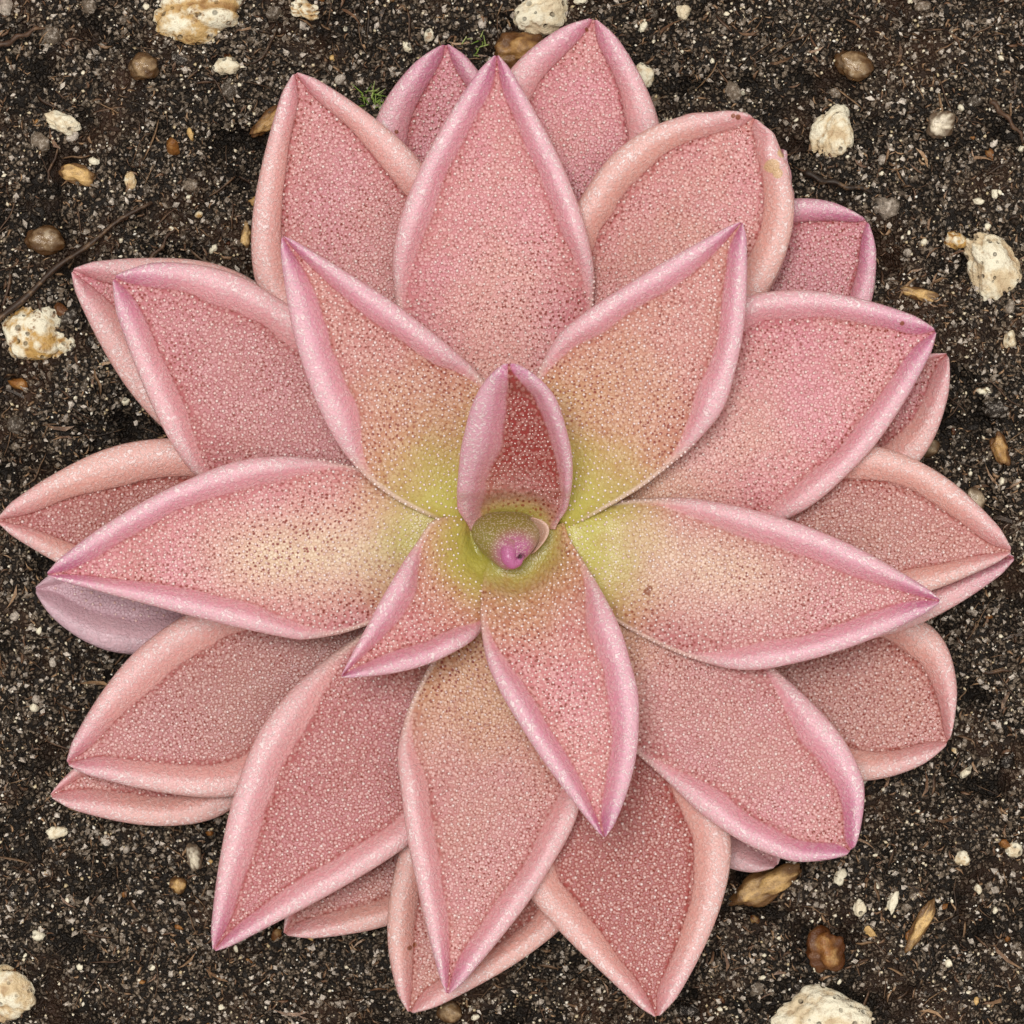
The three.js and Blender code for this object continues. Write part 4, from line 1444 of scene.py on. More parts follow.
@dataclass
class PerliteStones:
    """The seven large lumps that lie in the surface."""

    mix: PottingMix
    sunk: float = 0.35
    nub_size: float = 0.62
    stones: tuple[Stone, ...] = (
        Stone(-25.1, 42.4, (3.7, 2.2, 1.9), 12, 3, 0.9),
        Stone(2.4, 42.3, (2.2, 1.8, 1.6), 30, 11, 0.35),
        Stone(25.9, 32.6, (1.6, 2.1, 1.3), -20, 5, 0.55),
        Stone(38.9, 22.0, (2.1, 3.0, 1.6), 14, 8, 0.5, bend=0.34),
        Stone(-38.6, 16.6, (2.3, 2.2, 1.6), 50, 21, 1.0, nub=(0.9, -2.1)),
        Stone(25.0, -39.2, (3.7, 2.6, 1.9), 8, 14, 0.45),
        Stone(-40.6, -36.6, (2.0, 2.4, 1.5), 25, 17, 0.6),
    )

    @staticmethod
    def lump(size: Array, seed: float, bend: float) -> Shape:
        """The solid's own push by sines of the place, with finer knobs and pits laid over it.

        Args:
            size: Half-sizes.
            seed: Shift of the sines.
            bend: Sideways bow.

        Returns:
            The lump about its own middle.
        """
        points, faces = ball(4)
        x, y, z = points.T
        push = 0.13 * (np.sin(x * 3.1 + seed) * np.sin(y * 2.7 + seed * 1.7)
                       + 0.6 * np.sin(z * 4.3 + x * 2.2 + seed * 0.6))
        knobs = pebble_relief((x + 2) * 2.1 + z * 1.4, (y + 2) * 2.1 - z * 1.3, 1.0, int(seed))
        beads = pebble_relief((x + 2) * 5.3 + z * 3, (y + 2) * 5.3 - z * 3, 1.0, int(seed) + 2)
        pits = 0.04 * lattice_noise(x * 11 + z * 5, y * 11 - z * 4, 1.0, int(seed) + 1)
        moved = points * (0.9 + push + 0.26 * (knobs - 0.35) + 0.09 * beads + pits)[:, None] * size
        moved[:, 0] -= bend * moved[:, 1] ** 2 / size[1]
        return Shape(moved, [faces], {"crevice": 1 - np.clip(0.75 * knobs + 0.35 * beads, 0, 1)})

    def build(self, finish: Material) -> None:
        """Builds each stone where its solid lies.

        Args:
            finish: Their material.
        """
        for number, stone in enumerate(self.stones, 1):
            parts = [self.lump(np.array(stone.size), stone.seed, stone.bend)]
            if stone.nub:
                nub = self.lump(np.array(stone.size) * self.nub_size, stone.seed + 4, 0.0)
                nub.points += np.array([*stone.nub, -0.3])
                parts.append(nub)
            shape = Shape.joined(parts)
            level = float(self.mix.base_height(stone.x, stone.y))
            height = level + stone.size[2] * (0.5 - 2 * self.sunk)
            shape.points = shape.points @ turned(stone.turn).T + np.array([stone.x, stone.y, height])
            shape.marks["stain"] = np.full(len(shape.points), stone.stain)
            shape.build(f"stone_{number}", finish, "perlite", f"perlite_stone_{number}")


# The rosette
@dataclass(frozen=True)
class Side:
    """Outline of one side of a leaf: half-width at the foot, the greatest, its place, fullness."""

    foot: float
    widest: float
    place: float
    fullness: float

    def half(self, waist: float, along: Array) -> Array:
        """A sine up to the widest place, then a power curve to the tip.

        Args:
            waist: Power of the sine.
            along: Shares of the length.

        Returns:
            Half-widths.
        """
        rising = self.foot + (self.widest - self.foot) * np.sin(
            np.pi / 2 * np.clip(along / self.place, 0, 1)) ** waist
        falling = self.widest * (1 - np.clip((along - self.place) / (1 - self.place), 0, 1) ** self.fullness)
        return np.where(along <= self.place, rising, falling)


@dataclass(frozen=True)
class Curl:
    """How one margin rolls in: its width, the shares of the length between which it grows, and the
    greatest share of the half-width that it covers."""

    width: float = 2.1
    starts: float = 0.32
    full: float = 0.52
    close: float = 0.7


@dataclass(frozen=True)
class Look:
    """A leaf's own colours and folds.

    lime and amber are the distances from the axis where those colours fade, in millimetres; the
    others run from 0 to 1.
    """

    lime: float = 0.0
    amber: float = 12.0
    rose: float = 0.4
    blush: float = 0.6
    dusk: float = 0.0
    pale: float = 0.0
    fold: float = 0.4
    deep: float = 0.0
    mauve: float = 0.0
    ashen: float = 0.0


@dataclass(frozen=True)
class Leaf:
    """One leaf: where it points, how far, its tier, its two sides and its look."""

    azimuth: float
    reach: float
    tier: float
    left: Side
    right: Side
    look: Look
    foot: float | None = None
    start: float = 3.4
    curls: tuple[Curl, Curl] = (Curl(), Curl())
    lift: float = 0.0
    clasp: float = 1.0
    crumple: float = 0.0
    blunt: float = 0.965


def leaf(azimuth: float, reach: float, tier: float, left: tuple[float, ...], right: tuple[float, ...],
         look: Look, **more: object) -> Leaf:
    """A leaf from plain numbers."""
    return Leaf(azimuth, reach, tier, Side(*left), Side(*right), look, **more)


def early(left: float, right: float, close: float = 0.5) -> tuple[Curl, Curl]:
    """Margins that both roll in a third of the way out."""
    return Curl(left, 0.35, 0.55, close), Curl(right, 0.35, 0.55, close)


LEAVES: tuple[Leaf, ...] = (
    leaf(91, 13.2, 7, (4.1, 4.2, 0.06, 1.9), (4.3, 4.7, 0.2, 2.0),
         Look(3.5, 4.4, 0.5, 0.95, fold=0.3, deep=1.0, mauve=0.8), start=2.1, lift=8.0, clasp=0, blunt=0.74,
         curls=(Curl(2.8, -0.3, 0.6, 0.86), Curl(1.3, -0.35, 0.8, 0.9))),
    leaf(218.5, 16.6, 5.9, (1.2, 4.4, 0.32, 1.7), (3.6, 4.7, 0.13, 1.05),
         Look(7.5, 10, 0.4, 0.95, fold=0.3, deep=0.12, mauve=0.5), foot=212,
         curls=(Curl(1.5, 0.2, 0.42, 0.7), Curl(2.0, 0.2, 0.42, 0.8))),
    leaf(287.3, 23.4, 6.8, (4.4, 6.0, 0.38, 2.3), (2.9, 4.5, 0.31, 1.4),
         Look(5.2, 10, 0.5, 1.0, fold=0.3, mauve=0.55), foot=285, start=2.4,
         curls=(Curl(1.9, 0.08, 0.32, 0.75), Curl(1.7, 0.14, 0.46, 0.75))),
    leaf(54.2, 30.1, 5, (1.8, 6.4, 0.44, 1.2), (2.3, 7.3, 0.5, 1.6),
         Look(13, 22, 0.2, 0.8, dusk=0.12, fold=0.35, mauve=0.25),
         curls=(Curl(1.75, 0.28, 0.54, 0.75), Curl(1.9, 0.33, 0.54, 0.75))),
    leaf(127, 29.2, 5, (1.9, 6.3, 0.36, 1.8), (1.7, 5.7, 0.34, 1.35),
         Look(12.5, 21, 0.3, 0.85, dusk=0.18, fold=0.45, mauve=0.25),
         curls=(Curl(2.3, 0.3, 0.5, 0.82), Curl(1.8, 0.3, 0.5, 0.7))),
    leaf(184.2, 36.0, 4, (1.9, 6.5, 0.42, 1.1), (1.9, 7.9, 0.46, 1.7),
         Look(13, 15, 0.65, 0.85, pale=1.0, fold=0.35, mauve=0.15),
         curls=(Curl(1.8, 0.33, 0.56, 0.6), Curl(1.8, 0.28, 0.5, 0.6))),
    leaf(352, 33.4, 4, (2.3, 5.2, 0.38, 1.9), (1.6, 7.5, 0.5, 1.6),
         Look(13, 15, 0.6, 0.85, dusk=0.3, pale=0.7, fold=0.25, mauve=0.12),
         curls=(Curl(2.0, 0.24, 0.48, 0.7), Curl(1.9, 0.38, 0.6, 0.7))),
    leaf(91.8, 37.8, 3, (1.6, 8.7, 0.53, 1.6), (1.6, 7.2, 0.5, 1.5),
         Look(6, 15, 0.6, 0.8, pale=0.2, fold=0.3),
         curls=(Curl(2.0, 0.42, 0.64, 0.7), Curl(1.75, 0.42, 0.62, 0.7))),
    leaf(261.9, 35.7, 3, (1.6, 8.1, 0.52, 1.35), (1.6, 6.5, 0.44, 1.3),
         Look(9, 22, 0.45, 0.65, dusk=0.4, fold=0.3),
         curls=(Curl(1.8, 0.4, 0.56, 0.7), Curl(2.0, 0.36, 0.55, 0.7))),
    leaf(26.3, 36.8, 3, (1.6, 9.2, 0.58, 1.9), (1.6, 8.1, 0.52, 1.7),
         Look(7, 18, 0.65, 0.75, pale=0.3, fold=0.4),
         curls=(Curl(2.0, 0.35, 0.55, 0.6), Curl(1.8, 0.4, 0.58, 0.6))),
    leaf(317.5, 35.8, 3, (1.6, 6.5, 0.52, 4.0), (1.6, 5.8, 0.5, 3.5),
         Look(9, 19, 0.6, 0.8, dusk=0.45, fold=0.35), blunt=0.9,
         curls=(Curl(2.2, 0.54, 0.76, 0.6), Curl(1.8, 0.46, 0.68, 0.6))),
    leaf(146.6, 37.1, 3, (1.6, 9.4, 0.58, 1.35), (1.6, 5.8, 0.6, 2.7),
         Look(6, 14, 0.9, 0.65, dusk=0.5, fold=0.5), blunt=0.94,
         curls=(Curl(2.3, 0.54, 0.74, 0.65), Curl(2.2, 0.4, 0.6, 0.65))),
    leaf(234, 39.8, 2, (1.4, 7.8, 0.55, 1.15), (1.6, 7.4, 0.54, 1.5),
         Look(6, 16, 0.95, 0.65, dusk=0.5, fold=0.35, deep=0.45),
         curls=(Curl(2.0, 0.4, 0.58, 0.6), Curl(2.5, 0.3, 0.56, 0.6))),
    leaf(114.9, 40.4, 2, (1.6, 9.8, 0.62, 1.5), (1.6, 7.0, 0.55, 1.9),
         Look(5, 12, 0.6, 0.35, dusk=0.3, fold=0.85), curls=early(2.0, 2.3)),
    leaf(60, 38.5, 2, (1.6, 8.9, 0.6, 2.9), (1.6, 7.7, 0.64, 2.9), Look(5, 20, 0.3, 0.25, fold=0.6),
         crumple=1.0, curls=early(2.2, 2.1)),
    leaf(177.8, 40.4, 2, (1.6, 6.3, 0.6, 1.6), (1.6, 7.0, 0.62, 1.9),
         Look(5, 12, 0.5, 0.2, dusk=1.0, fold=0.8, deep=0.3), curls=early(2.1, 2.5, 0.6)),
    leaf(286.9, 39.1, 2, (1.6, 9.8, 0.64, 1.7), (1.6, 7.0, 0.64, 1.2),
         Look(5, 14, 0.3, 0.3, dusk=1.0, fold=0.6, deep=0.7), curls=early(2.4, 2.1, 0.55)),
    leaf(358.7, 39.2, 2, (1.6, 8.1, 0.66, 1.9), (1.6, 5.1, 0.62, 1.5),
         Look(5, 12, 0.2, 0.2, dusk=0.6, fold=0.7),
         curls=(Curl(2.0, 0.35, 0.55, 0.55), Curl(2.1, 0.35, 0.55, 0.6))),
    leaf(206.7, 39.4, 1, (1.4, 8.4, 0.68, 1.35), (1.4, 6.4, 0.6, 1.9),
         Look(5, 12, 0.6, 0.4, dusk=0.8, fold=0.5), curls=early(2.0, 2.6, 0.6)),
    leaf(358, 39.8, 1, (0.8, 3.2, 0.6, 1.6), (0.8, 6.8, 0.66, 1.6), Look(4, 9, 0.5, 0.5, dusk=0.5),
         foot=350),
    leaf(81.1, 41.7, 1, (0.8, 7.2, 0.7, 2.5), (0.8, 7.3, 0.7, 2), Look(4, 9, 0.6, 0.55, dusk=0.0, fold=0.75),
         foot=90, curls=early(2.2, 2.1)),
    leaf(23.1, 37.5, 1, (0.8, 2.8, 0.6, 1.6), (0.8, 7.8, 0.72, 2.4), Look(4, 9, 0.5, 0.3, dusk=0.3),
         foot=28),
    leaf(148.5, 40.8, 1, (1.4, 7.1, 0.62, 1.6), (1.4, 6.9, 0.66, 1.7),
         Look(4, 9, 0.7, 0.35, dusk=0.1, fold=0.7), curls=early(2.5, 2.3, 0.8)),
    leaf(257.8, 38.3, 1, (1.4, 11.0, 0.7, 1.3), (1.4, 3.6, 0.7, 2.2),
         Look(4, 9, 0.1, 0.1, dusk=0.7, fold=0.6)),
    leaf(55.5, 38.1, 1, (0.8, 3.2, 0.66, 1.8), (0.8, 5.8, 0.68, 1.95), Look(4, 9, 0.5, 0.5, dusk=0.2),
         foot=59, crumple=1.2),
    leaf(335.1, 38.4, 0, (0.8, 8.0, 0.75, 3.2), (0.8, 6.8, 0.7, 2.7),
         Look(6, 24, 0.1, 0.1, dusk=0.75, fold=0.7), foot=341,
         curls=(Curl(2.1, 0.5, 0.72, 0.5), Curl(2.2, 0.45, 0.65, 0.5))),
    leaf(97.6, 39.9, 0, (1.4, 7.6, 0.68, 2.7), (1.4, 4.8, 0.6, 2.8), Look(4, 9, 0.8, 0.7, fold=0.7),
         curls=(Curl(2.4, 0.35, 0.55, 0.55), Curl(1.6, 0.35, 0.55, 0.5))),
    leaf(41.9, 38.1, 0, (1.4, 6.8, 0.7, 3.4), (1.4, 6.8, 0.65, 2.8),
         Look(4, 9, 0.95, 0.75, dusk=0.2, fold=0.85), curls=early(1.9, 1.5, 0.45)),
    leaf(185.9, 38.3, 0, (0.8, 6.4, 0.68, 2.9), (0.8, 4.8, 0.6, 1.6),
         Look(4, 9, 0.6, 0.3, dusk=0.3, ashen=0.75), foot=176),
    leaf(240, 36.4, 0, (0.8, 9.6, 0.68, 1.75), (0.8, 2.8, 0.66, 1.6), Look(4, 9, 0.2, 0.2, dusk=0.8),
         foot=247),
    leaf(209, 42.1, 0, (0.8, 8.0, 0.7, 1.7), (0.8, 2.8, 0.66, 1.6), Look(4, 9, 0.4, 0.3, dusk=0.7),
         foot=213),
    leaf(309, 33.6, 0, (0.8, 3.4, 0.6, 4.5), (0.8, 4.2, 0.66, 4), Look(4, 9, 0.2, 0.0, dusk=0.5, ashen=0.35),
         foot=302),
)


@dataclass
class Rosette:
    """The 32 leaves and the droplets on them."""

    floor: float = 57.7
    tier_at_crown: float = 1.15
    tier_at_edge: float = 2.25
    tier_spread: float = 5.0
    leaf_start: float = 3.4
    blade: float = 0.7
    channel: float = 0.25
    droop: float = 0.85
    roll_height: float = 1.7
    edge_curl: float = 1.2
    tip_lift: float = 0.35
    waists: tuple[float, ...] = (2.2, 2.2, 1.35, 1.35)
    heart_lift: tuple[float, ...] = (0.0, 0.5, 1.3, 2.4, 2.8, 1.8, 0.6, 0.0)
    heart_radii: tuple[float, float] = (2.5, 9.0)
    sheath: float = 1.3
    stations: int = 60
    droplet_gap: float = 0.55
    rim_gap: float = 0.4
    bare_heart: float = 4.2
    cover: float = 1.2

    def half(self, one: Leaf, along: Array, across: Array) -> Array:
        """Half-width of a leaf on the side where each place lies."""
        left, right = (side.half(self.waist(one), along) for side in (one.left, one.right))
        return np.where(across > 0, left, right)

    def tier_height(self, radius: Array, tier: float) -> Array:
        """Underside of a tier: its rise spreads by an exponential, and the rim sweeps up.

        Args:
            radius: Distance from the stem's axis.
            tier: The tier.

        Returns:
            Heights.
        """
        spread = np.maximum(0, 1 - np.exp(-(radius - self.leaf_start) / self.tier_spread))
        rise = self.tier_at_crown + (self.tier_at_edge - self.tier_at_crown) * spread
        return self.floor + tier * rise + self.edge_curl * (radius / 40) ** 4

    def waist(self, one: Leaf) -> float:
        """How slender the lower part of a leaf is."""
        return self.waists[int(one.tier)] if one.tier in (0, 1, 2, 3) else 1.0

    def axis(self, one: Leaf) -> tuple[Array, Array, float]:
        """A leaf's foot in plan, its direction and its length.

        Args:
            one: The leaf.

        Returns:
            Foot, unit direction and length.
        """
        turn_foot = math.radians(one.azimuth if one.foot is None else one.foot)
        turn_tip = math.radians(one.azimuth)
        foot = one.start * np.array([math.cos(turn_foot), math.sin(turn_foot)])
        tip = one.reach * np.array([math.cos(turn_tip), math.sin(turn_tip)])
        length = float(np.linalg.norm(tip - foot))
        return foot, (tip - foot) / length, length

    def place(self, one: Leaf, along: Array, across: Array, height: Array) -> Array:
        """Where points of a leaf lie.

        The foot follows the stem's circle, the midline rises with the tier, and the tip lifts by
        the fourth power of the share of the length.

        Args:
            one: The leaf.
            along: Share of the length.
            across: Distance to the left of the midline.
            height: Height over the underside.

        Returns:
            The places, with a last axis of three.
        """
        foot, axis, length = self.axis(one)
        inset = np.sqrt(np.maximum(one.start**2 - across**2, (one.start / 2) ** 2))
        clasp = one.clasp * (one.start - inset) * np.clip(1 - along, 0, 1) ** 3
        reach = along * length - clasp
        x = foot[0] + axis[0] * reach - axis[1] * across
        y = foot[1] + axis[1] * reach + axis[0] * across
        share = np.clip(along, 0, 1)
        lift = one.lift * share**1.2 if one.lift else self.tip_lift * one.tier * share**4
        radius = np.hypot(x, y)
        raised = self.heart_lift[round(one.tier)] * (1 - smoothstep(radius, *self.heart_radii))
        return np.stack([x, y, self.tier_height(radius, one.tier) + lift + raised + height], -1)

    def upright(self, one: Leaf, along: Array) -> Array:
        """How much heights grow on a steep leaf, so that its blade keeps its thickness.

        Args:
            one: The leaf.
            along: Shares of the length.

        Returns:
            The factors.
        """
        zero = np.zeros_like(along)
        ahead = self.place(one, np.minimum(1, along + 0.03), zero, zero)
        behind = self.place(one, np.maximum(0, along - 0.03), zero, zero)
        run = np.hypot(ahead[..., 0] - behind[..., 0], ahead[..., 1] - behind[..., 1])
        return np.hypot(1, (ahead[..., 2] - behind[..., 2]) / run)

    def cupped(self, one: Leaf, share: Array, grown: Array) -> Array:
        """How the blade bends across: a shallow channel where the margin is rolled, and an edge that
        droops by the fourth power of its share of the half-width where it isn't.

        Args:
            one: The leaf.
            share: Distance from the midline as a share of the half-width.
            grown: How far the margin's roll has grown, 0 to 1.

        Returns:
            The height to add.
        """
        droop = self.droop * min(1.0, one.tier / 3) * (0.0 if one.lift else 1.0)
        return self.channel * share**2 - (droop + self.channel) * share**4 * (1 - grown)

    def section(self, one: Leaf, side: Side, curl: Curl, sign: int, along: Array,
                seed: int) -> tuple[Array, Array, dict[str, Array]]:
        """Half of a leaf's section, from the middle underneath round the margin to the middle above.

        Underneath it is flat; the margin is half an ellipse; inside it comes down either as a
        cosine, where the fold is soft, or as the rest of the ellipse, where it is tight; then the
        blade runs level to the middle.

        Args:
            one: The leaf.
            side: Its outline on this side.
            curl: How the margin rolls in there.
            sign: 1 for the left side, -1 for the right.
            along: (n,) shares of the length.
            seed: Seed of the side's own unevenness.

        Returns:
            Distances from the midline and heights, (n, points), and marks for the colours.
        """
        wave = lattice_noise(along * 9, along * 0, 1.0, seed)
        ripple = lattice_noise(along * 23, along * 0 + 3, 1.0, seed)
        tip = np.sqrt(1 - 0.97 * np.clip((along - one.blunt) / (1 - one.blunt), 0, 1) ** 2)
        if one.lift:
            tip = tip * (1 - 0.2 * (1 - smoothstep(along, -0.12, 0.04)))
        trimmed = along * (1 - (0.8 if one.lift else 0.45) * (1 - one.blunt))
        half = side.half(self.waist(one), trimmed) * tip * (1 + 0.012 * wave * smoothstep(along, 0.1, 0.3))
        grown = smoothstep(along, curl.starts, curl.full)
        width = curl.width * (1 + 0.24 * one.look.fold + 0.1 * (one.tier <= 2))
        close = curl.close + (0.8 - curl.close) * smoothstep(along, 0.84, 0.98)
        wanted = width * (0.22 + 0.78 * grown) * (1 + 0.1 * wave + 0.05 * ripple)
        roll = (wanted**-5 + (close * half) ** -5) ** -0.2
        crest = self.roll_height * (1 + 0.03 * ripple)
        top = self.blade + (crest - self.blade) * grown * np.minimum(1, half / 1.4)
        hooded = smoothstep(along, 0.78, 0.9)[:, None] * (one.blunt < 0.9)
        half, roll, top, grown = (v[:, None] for v in (half, roll, top, grown))
        t = np.linspace(0, 1, 6)[None, :-1]
        under_a, under_h = (half - 0.5 * roll) * t, 0 * half * t
        turn = np.linspace(-np.pi / 2, np.pi / 2, 9)[None]
        outer_a = half - 0.5 * roll + 0.5 * roll * np.cos(turn)
        outer_h = top / 2 + top / 2 * np.sin(turn)
        u = np.linspace(0, 1, 10)[None, 1:]
        rise = top - self.blade
        soft_a = half - 0.5 * roll - 0.8 * roll * u
        soft_h = self.blade + rise * (0.5 + 0.5 * np.cos(np.pi * u))
        lean = np.pi / 2 + u * np.radians(108)
        tight_a = half - 0.5 * roll + 0.5 * roll * np.cos(lean)
        middle = self.blade + 0.28 * rise
        tight_h = middle + (top - middle) * np.sin(lean)
        fold = one.look.fold * grown
        inner_a = np.maximum((1 - fold) * soft_a + fold * tight_a, 0.0)
        inner_h = (1 - fold) * soft_h + fold * np.maximum(tight_h, self.blade)
        v = np.linspace(1, 0, 9)[None, 1:]
        blade_a = inner_a[:, -1:] * v
        blade_h = inner_h[:, -1:] + (self.blade - inner_h[:, -1:]) * (1 - v)
        inner_h = inner_h + 0.85 * hooded * (top - inner_h)
        blade_h = blade_h + 0.85 * hooded * (top - blade_h)
        across = np.hstack([under_a, outer_a, inner_a, blade_a])
        height = np.hstack([under_h, outer_h, inner_h, blade_h])
        count = (under_a.shape[1], outer_a.shape[1], inner_a.shape[1], blade_a.shape[1])
        shares = np.concatenate([np.linspace(0, 1, count[0]), np.ones(count[1]),
                                 1 - smoothstep(u[0], 0.6 + 0.22 * one.look.fold, 1.0), np.zeros(count[3])])
        inner = np.concatenate([np.zeros(count[0]), np.linspace(0, 0.45, count[1]),
                                0.45 + 0.55 * u[0], np.ones(count[3])])
        # Deeper red and painted shade in the fold between roll and blade, spreading onto the blade.
        crease = np.concatenate([np.zeros(count[0] + count[1]),
                                 smoothstep(u[0], 0.5 + 0.3 * one.look.fold, 1.0),
                                 np.exp(-(1 - v[0]) * 4.5)])
        shown = smoothstep(along, curl.starts - 0.04, 0.5 * (curl.starts + curl.full))[:, None]
        path = np.concatenate([np.zeros((len(along), 1)),
                               np.cumsum(np.hypot(np.diff(across, axis=1), np.diff(height, axis=1)), 1)], 1)
        marks = {"margin": shares[None] * shown, "inner": inner[None] + 0 * across,
                 "crease": crease[None] * shown * (0.35 + 0.4 * one.look.fold),
                 "girth": sign * (path[:, -1:] - path) * MM, "half": half + 0 * across}
        # The thin outer edge of the base, where painted light lightens the skin.
        thin = np.concatenate([np.zeros(count[0] + 2), np.ones(count[1] - 2), 1 - smoothstep(u[0], 0.0, 0.6),
                               np.zeros(count[3])])
        marks["hem"] = thin[None] * (1 - shown)
        surface = self.cupped(one, across / np.maximum(half, 1e-6), grown)
        bulge = 0.05 * lattice_noise(along[:, None] * 16 + 0 * across, sign * across * 0.55, 1.0, seed + 9)
        upper = np.concatenate([np.zeros(count[0] + count[1] + count[2]), np.ones(count[3])])
        return sign * across, height + surface + bulge * upper, marks

    def skin(self, one: Leaf, number: int) -> Shape:
        """A leaf's closed skin: its section carried from foot to tip, with the marks for its colours.

        Args:
            one: The leaf.
            number: Its number, which also seeds its unevenness.

        Returns:
            The skin.
        """
        t = np.linspace(0, 1, self.stations)
        length = self.axis(one)[2]
        inside = self.sheath / length if one.tier >= 3 else 0.0
        along = -inside + (0.997 + inside) * (1 - (1 - t) ** 1.45)
        right = self.section(one, one.right, one.curls[1], -1, along, number * 7 + 1)
        left = self.section(one, one.left, one.curls[0], 1, along, number * 7 + 2)
        across = np.hstack([right[0], left[0][:, -2:0:-1]])
        height = np.hstack([right[1], left[1][:, -2:0:-1]]) * self.upright(one, along)[:, None]
        marks = {name: np.hstack([right[2][name], left[2][name][:, -2:0:-1]]) for name in right[2]}
        station = np.repeat(along[:, None], across.shape[1], 1)
        points = self.place(one, station, across, height)
        if one.crumple:
            near_tip = one.crumple * smoothstep(station, 0.89, 0.99)
            for axis, seed in enumerate((31, 32, 33)):
                wobble = lattice_noise(station * length, across, 1.3, seed + number)
                points[..., axis] += (0.45, 0.45, 0.3)[axis] * near_tip * (wobble - 0.2)
        radius = np.hypot(points[..., 0], points[..., 1])
        look = one.look
        uneven = 1 + 0.1 * lattice_noise(points[..., 0], points[..., 1], 2.3, number)
        margin = marks["margin"]
        marks["hem"] = marks["hem"] * smoothstep(radius, 4.5, 8.0)
        marks["lime"] = 1 - smoothstep(radius * uneven, 0.45 * look.lime, look.lime)
        marks["run"] = (station * length + 53.7 * number) * MM
        marks["olive"] = 0.85 * (1 - smoothstep(radius * uneven, 2.2, 4.0))
        marks["mauve"] = look.mauve
        marks["ashen"] = look.ashen * smoothstep(station, 0.4, 0.7)
        amber = 1 - smoothstep(radius * uneven, 0.45 * look.amber, look.amber)
        middle = np.exp(-((across / 3.2) ** 2))
        marks["amber"] = amber * (1 - 0.6 * look.pale * middle) * 0.9
        marks["pale"] = look.pale * middle * (1 - smoothstep(station, 0.45, 0.72))
        marks["rose"] = np.clip(look.rose * (0.7 + 0.6 * station), 0, 1)
        marks["dusk"] = look.dusk * (1 - 0.5 * smoothstep(station, 0.6, 1.0)) * (1 - 0.4 * margin)
        marks["deep"] = look.deep * smoothstep(radius, 3.6, 6.5)
        aside = np.minimum(np.abs(across) / np.maximum(marks.pop("half"), 1e-6), 1.0) ** 2
        marks["flush"] = look.rose * smoothstep(station, 0.25, 0.9) * (0.12 + 0.5 * aside)
        marks["blush"] = np.clip(look.blush * (0.45 + 0.75 * station), 0, 1)
        marks["tip"] = np.clip(look.blush, 0.3, 1) * smoothstep(station, 0.84, 0.98) * 0.85
        return Shape.grid(points, **marks).outward()

    def covered(self, one: Leaf, x: Array, y: Array) -> NDArray[np.bool_]:
        """True for each place in plan that lies well under a leaf of a higher tier.

        Args:
            one: The leaf.
            x: First coordinate of each place.
            y: Second coordinate.

        Returns:
            The mask.
        """
        hidden = np.zeros(x.shape, bool)
        for other in LEAVES:
            if other.tier <= one.tier + 0.3:
                continue
            foot, axis, length = self.axis(other)
            along = ((x - foot[0]) * axis[0] + (y - foot[1]) * axis[1]) / length
            across = -(x - foot[0]) * axis[1] + (y - foot[1]) * axis[0]
            side = self.half(other, np.clip(along, 0, 1), across)
            hidden |= (along > 0) & (along < 1) & (np.abs(across) < side - self.cover)
        return hidden

    def rim_row(self, one: Leaf, side: Side, curl: Curl, sign: int, length: float,
                random: np.random.Generator) -> tuple[Array, Array, Array]:
        """A row of beads along the thin edge of a leaf's base, up to where the margin rolls in.

        Args:
            one: The leaf.
            side: Its outline on this side.
            curl: How its margin rolls in there.
            sign: 1 for the left side, -1 for the right.
            length: The leaf's length.
            random: The leaf's own generator.

        Returns:
            Shares of the length, distances to the left of the midline and half-widths.
        """
        along = np.arange(0.4, max(0.5, (0.5 * (curl.starts + curl.full)) * length), self.rim_gap) / length
        along = along + random.normal(0, 0.04, len(along)) / length
        half = side.half(self.waist(one), np.clip(along, 0, 1))
        return along, sign * (half - 0.12 - 0.1 * random.random(len(along))), half

    def droplets(self, one: Leaf, number: int) -> Shape:
        """Beads on a loosely six-sided lattice over the open blade, with a row along the base's edge.

        Args:
            one: The leaf.
            number: Its number, which seeds the draw.

        Returns:
            The beads.
        """
        random = np.random.default_rng(500 + number)
        _, _, length = self.axis(one)
        sparse = 0.62 if one.lift else 0.82 if one.tier > 5 else 0.97 if one.tier > 3 else 1.32
        gap = self.droplet_gap * sparse
        wide = max(one.left.widest, one.right.widest)
        rows = np.arange(0.3, length - 0.4, gap * 0.87)
        columns = np.arange(-wide, wide, gap)
        grid_along, grid_across = np.meshgrid(rows, columns, indexing="ij")
        grid_across = grid_across + (np.arange(len(rows)) % 2)[:, None] * gap / 2
        grid_along = grid_along + random.normal(0, 0.15 * gap, grid_along.shape)
        grid_across = grid_across + random.normal(0, 0.15 * gap, grid_along.shape)
        along, across = (grid_along / length).reshape(-1), grid_across.reshape(-1)
        share = np.clip(along, 0, 0.999)
        half = self.half(one, share, across)
        roll = np.zeros_like(share)
        for mask, curl in ((across > 0, one.curls[0]), (across <= 0, one.curls[1])):
            grown = smoothstep(share, curl.starts, curl.full)
            roll[mask] = np.minimum(curl.width * (0.22 + 0.78 * grown), curl.close * half)[mask]
        keep = (np.abs(across) < half - roll) & (random.random(len(along)) < 0.93)
        along, across, half = along[keep], across[keep], half[keep]
        inner_count = len(along)
        if one.tier >= 3:
            rims = [self.rim_row(one, side, curl, sign, length, random) for side, curl, sign in (
                (one.left, one.curls[0], 1), (one.right, one.curls[1], -1))]
            along, across, half = (np.concatenate([have, *more]) for have, *more in zip(
                (along, across, half), *rims))
        share = np.abs(across) / half
        grown = np.where(across > 0, smoothstep(along, one.curls[0].starts, one.curls[0].full),
                         smoothstep(along, one.curls[1].starts, one.curls[1].full))
        height = (self.blade + self.cupped(one, share, grown)) * self.upright(one, along)
        places = self.place(one, along, across, height)
        on_rim = np.arange(len(along)) >= inner_count
        seen = ~self.covered(one, places[:, 0], places[:, 1])
        seen &= np.hypot(places[:, 0], places[:, 1]) > self.bare_heart
        places, along, on_rim = places[seen], along[seen], on_rim[seen]
        n = len(places)
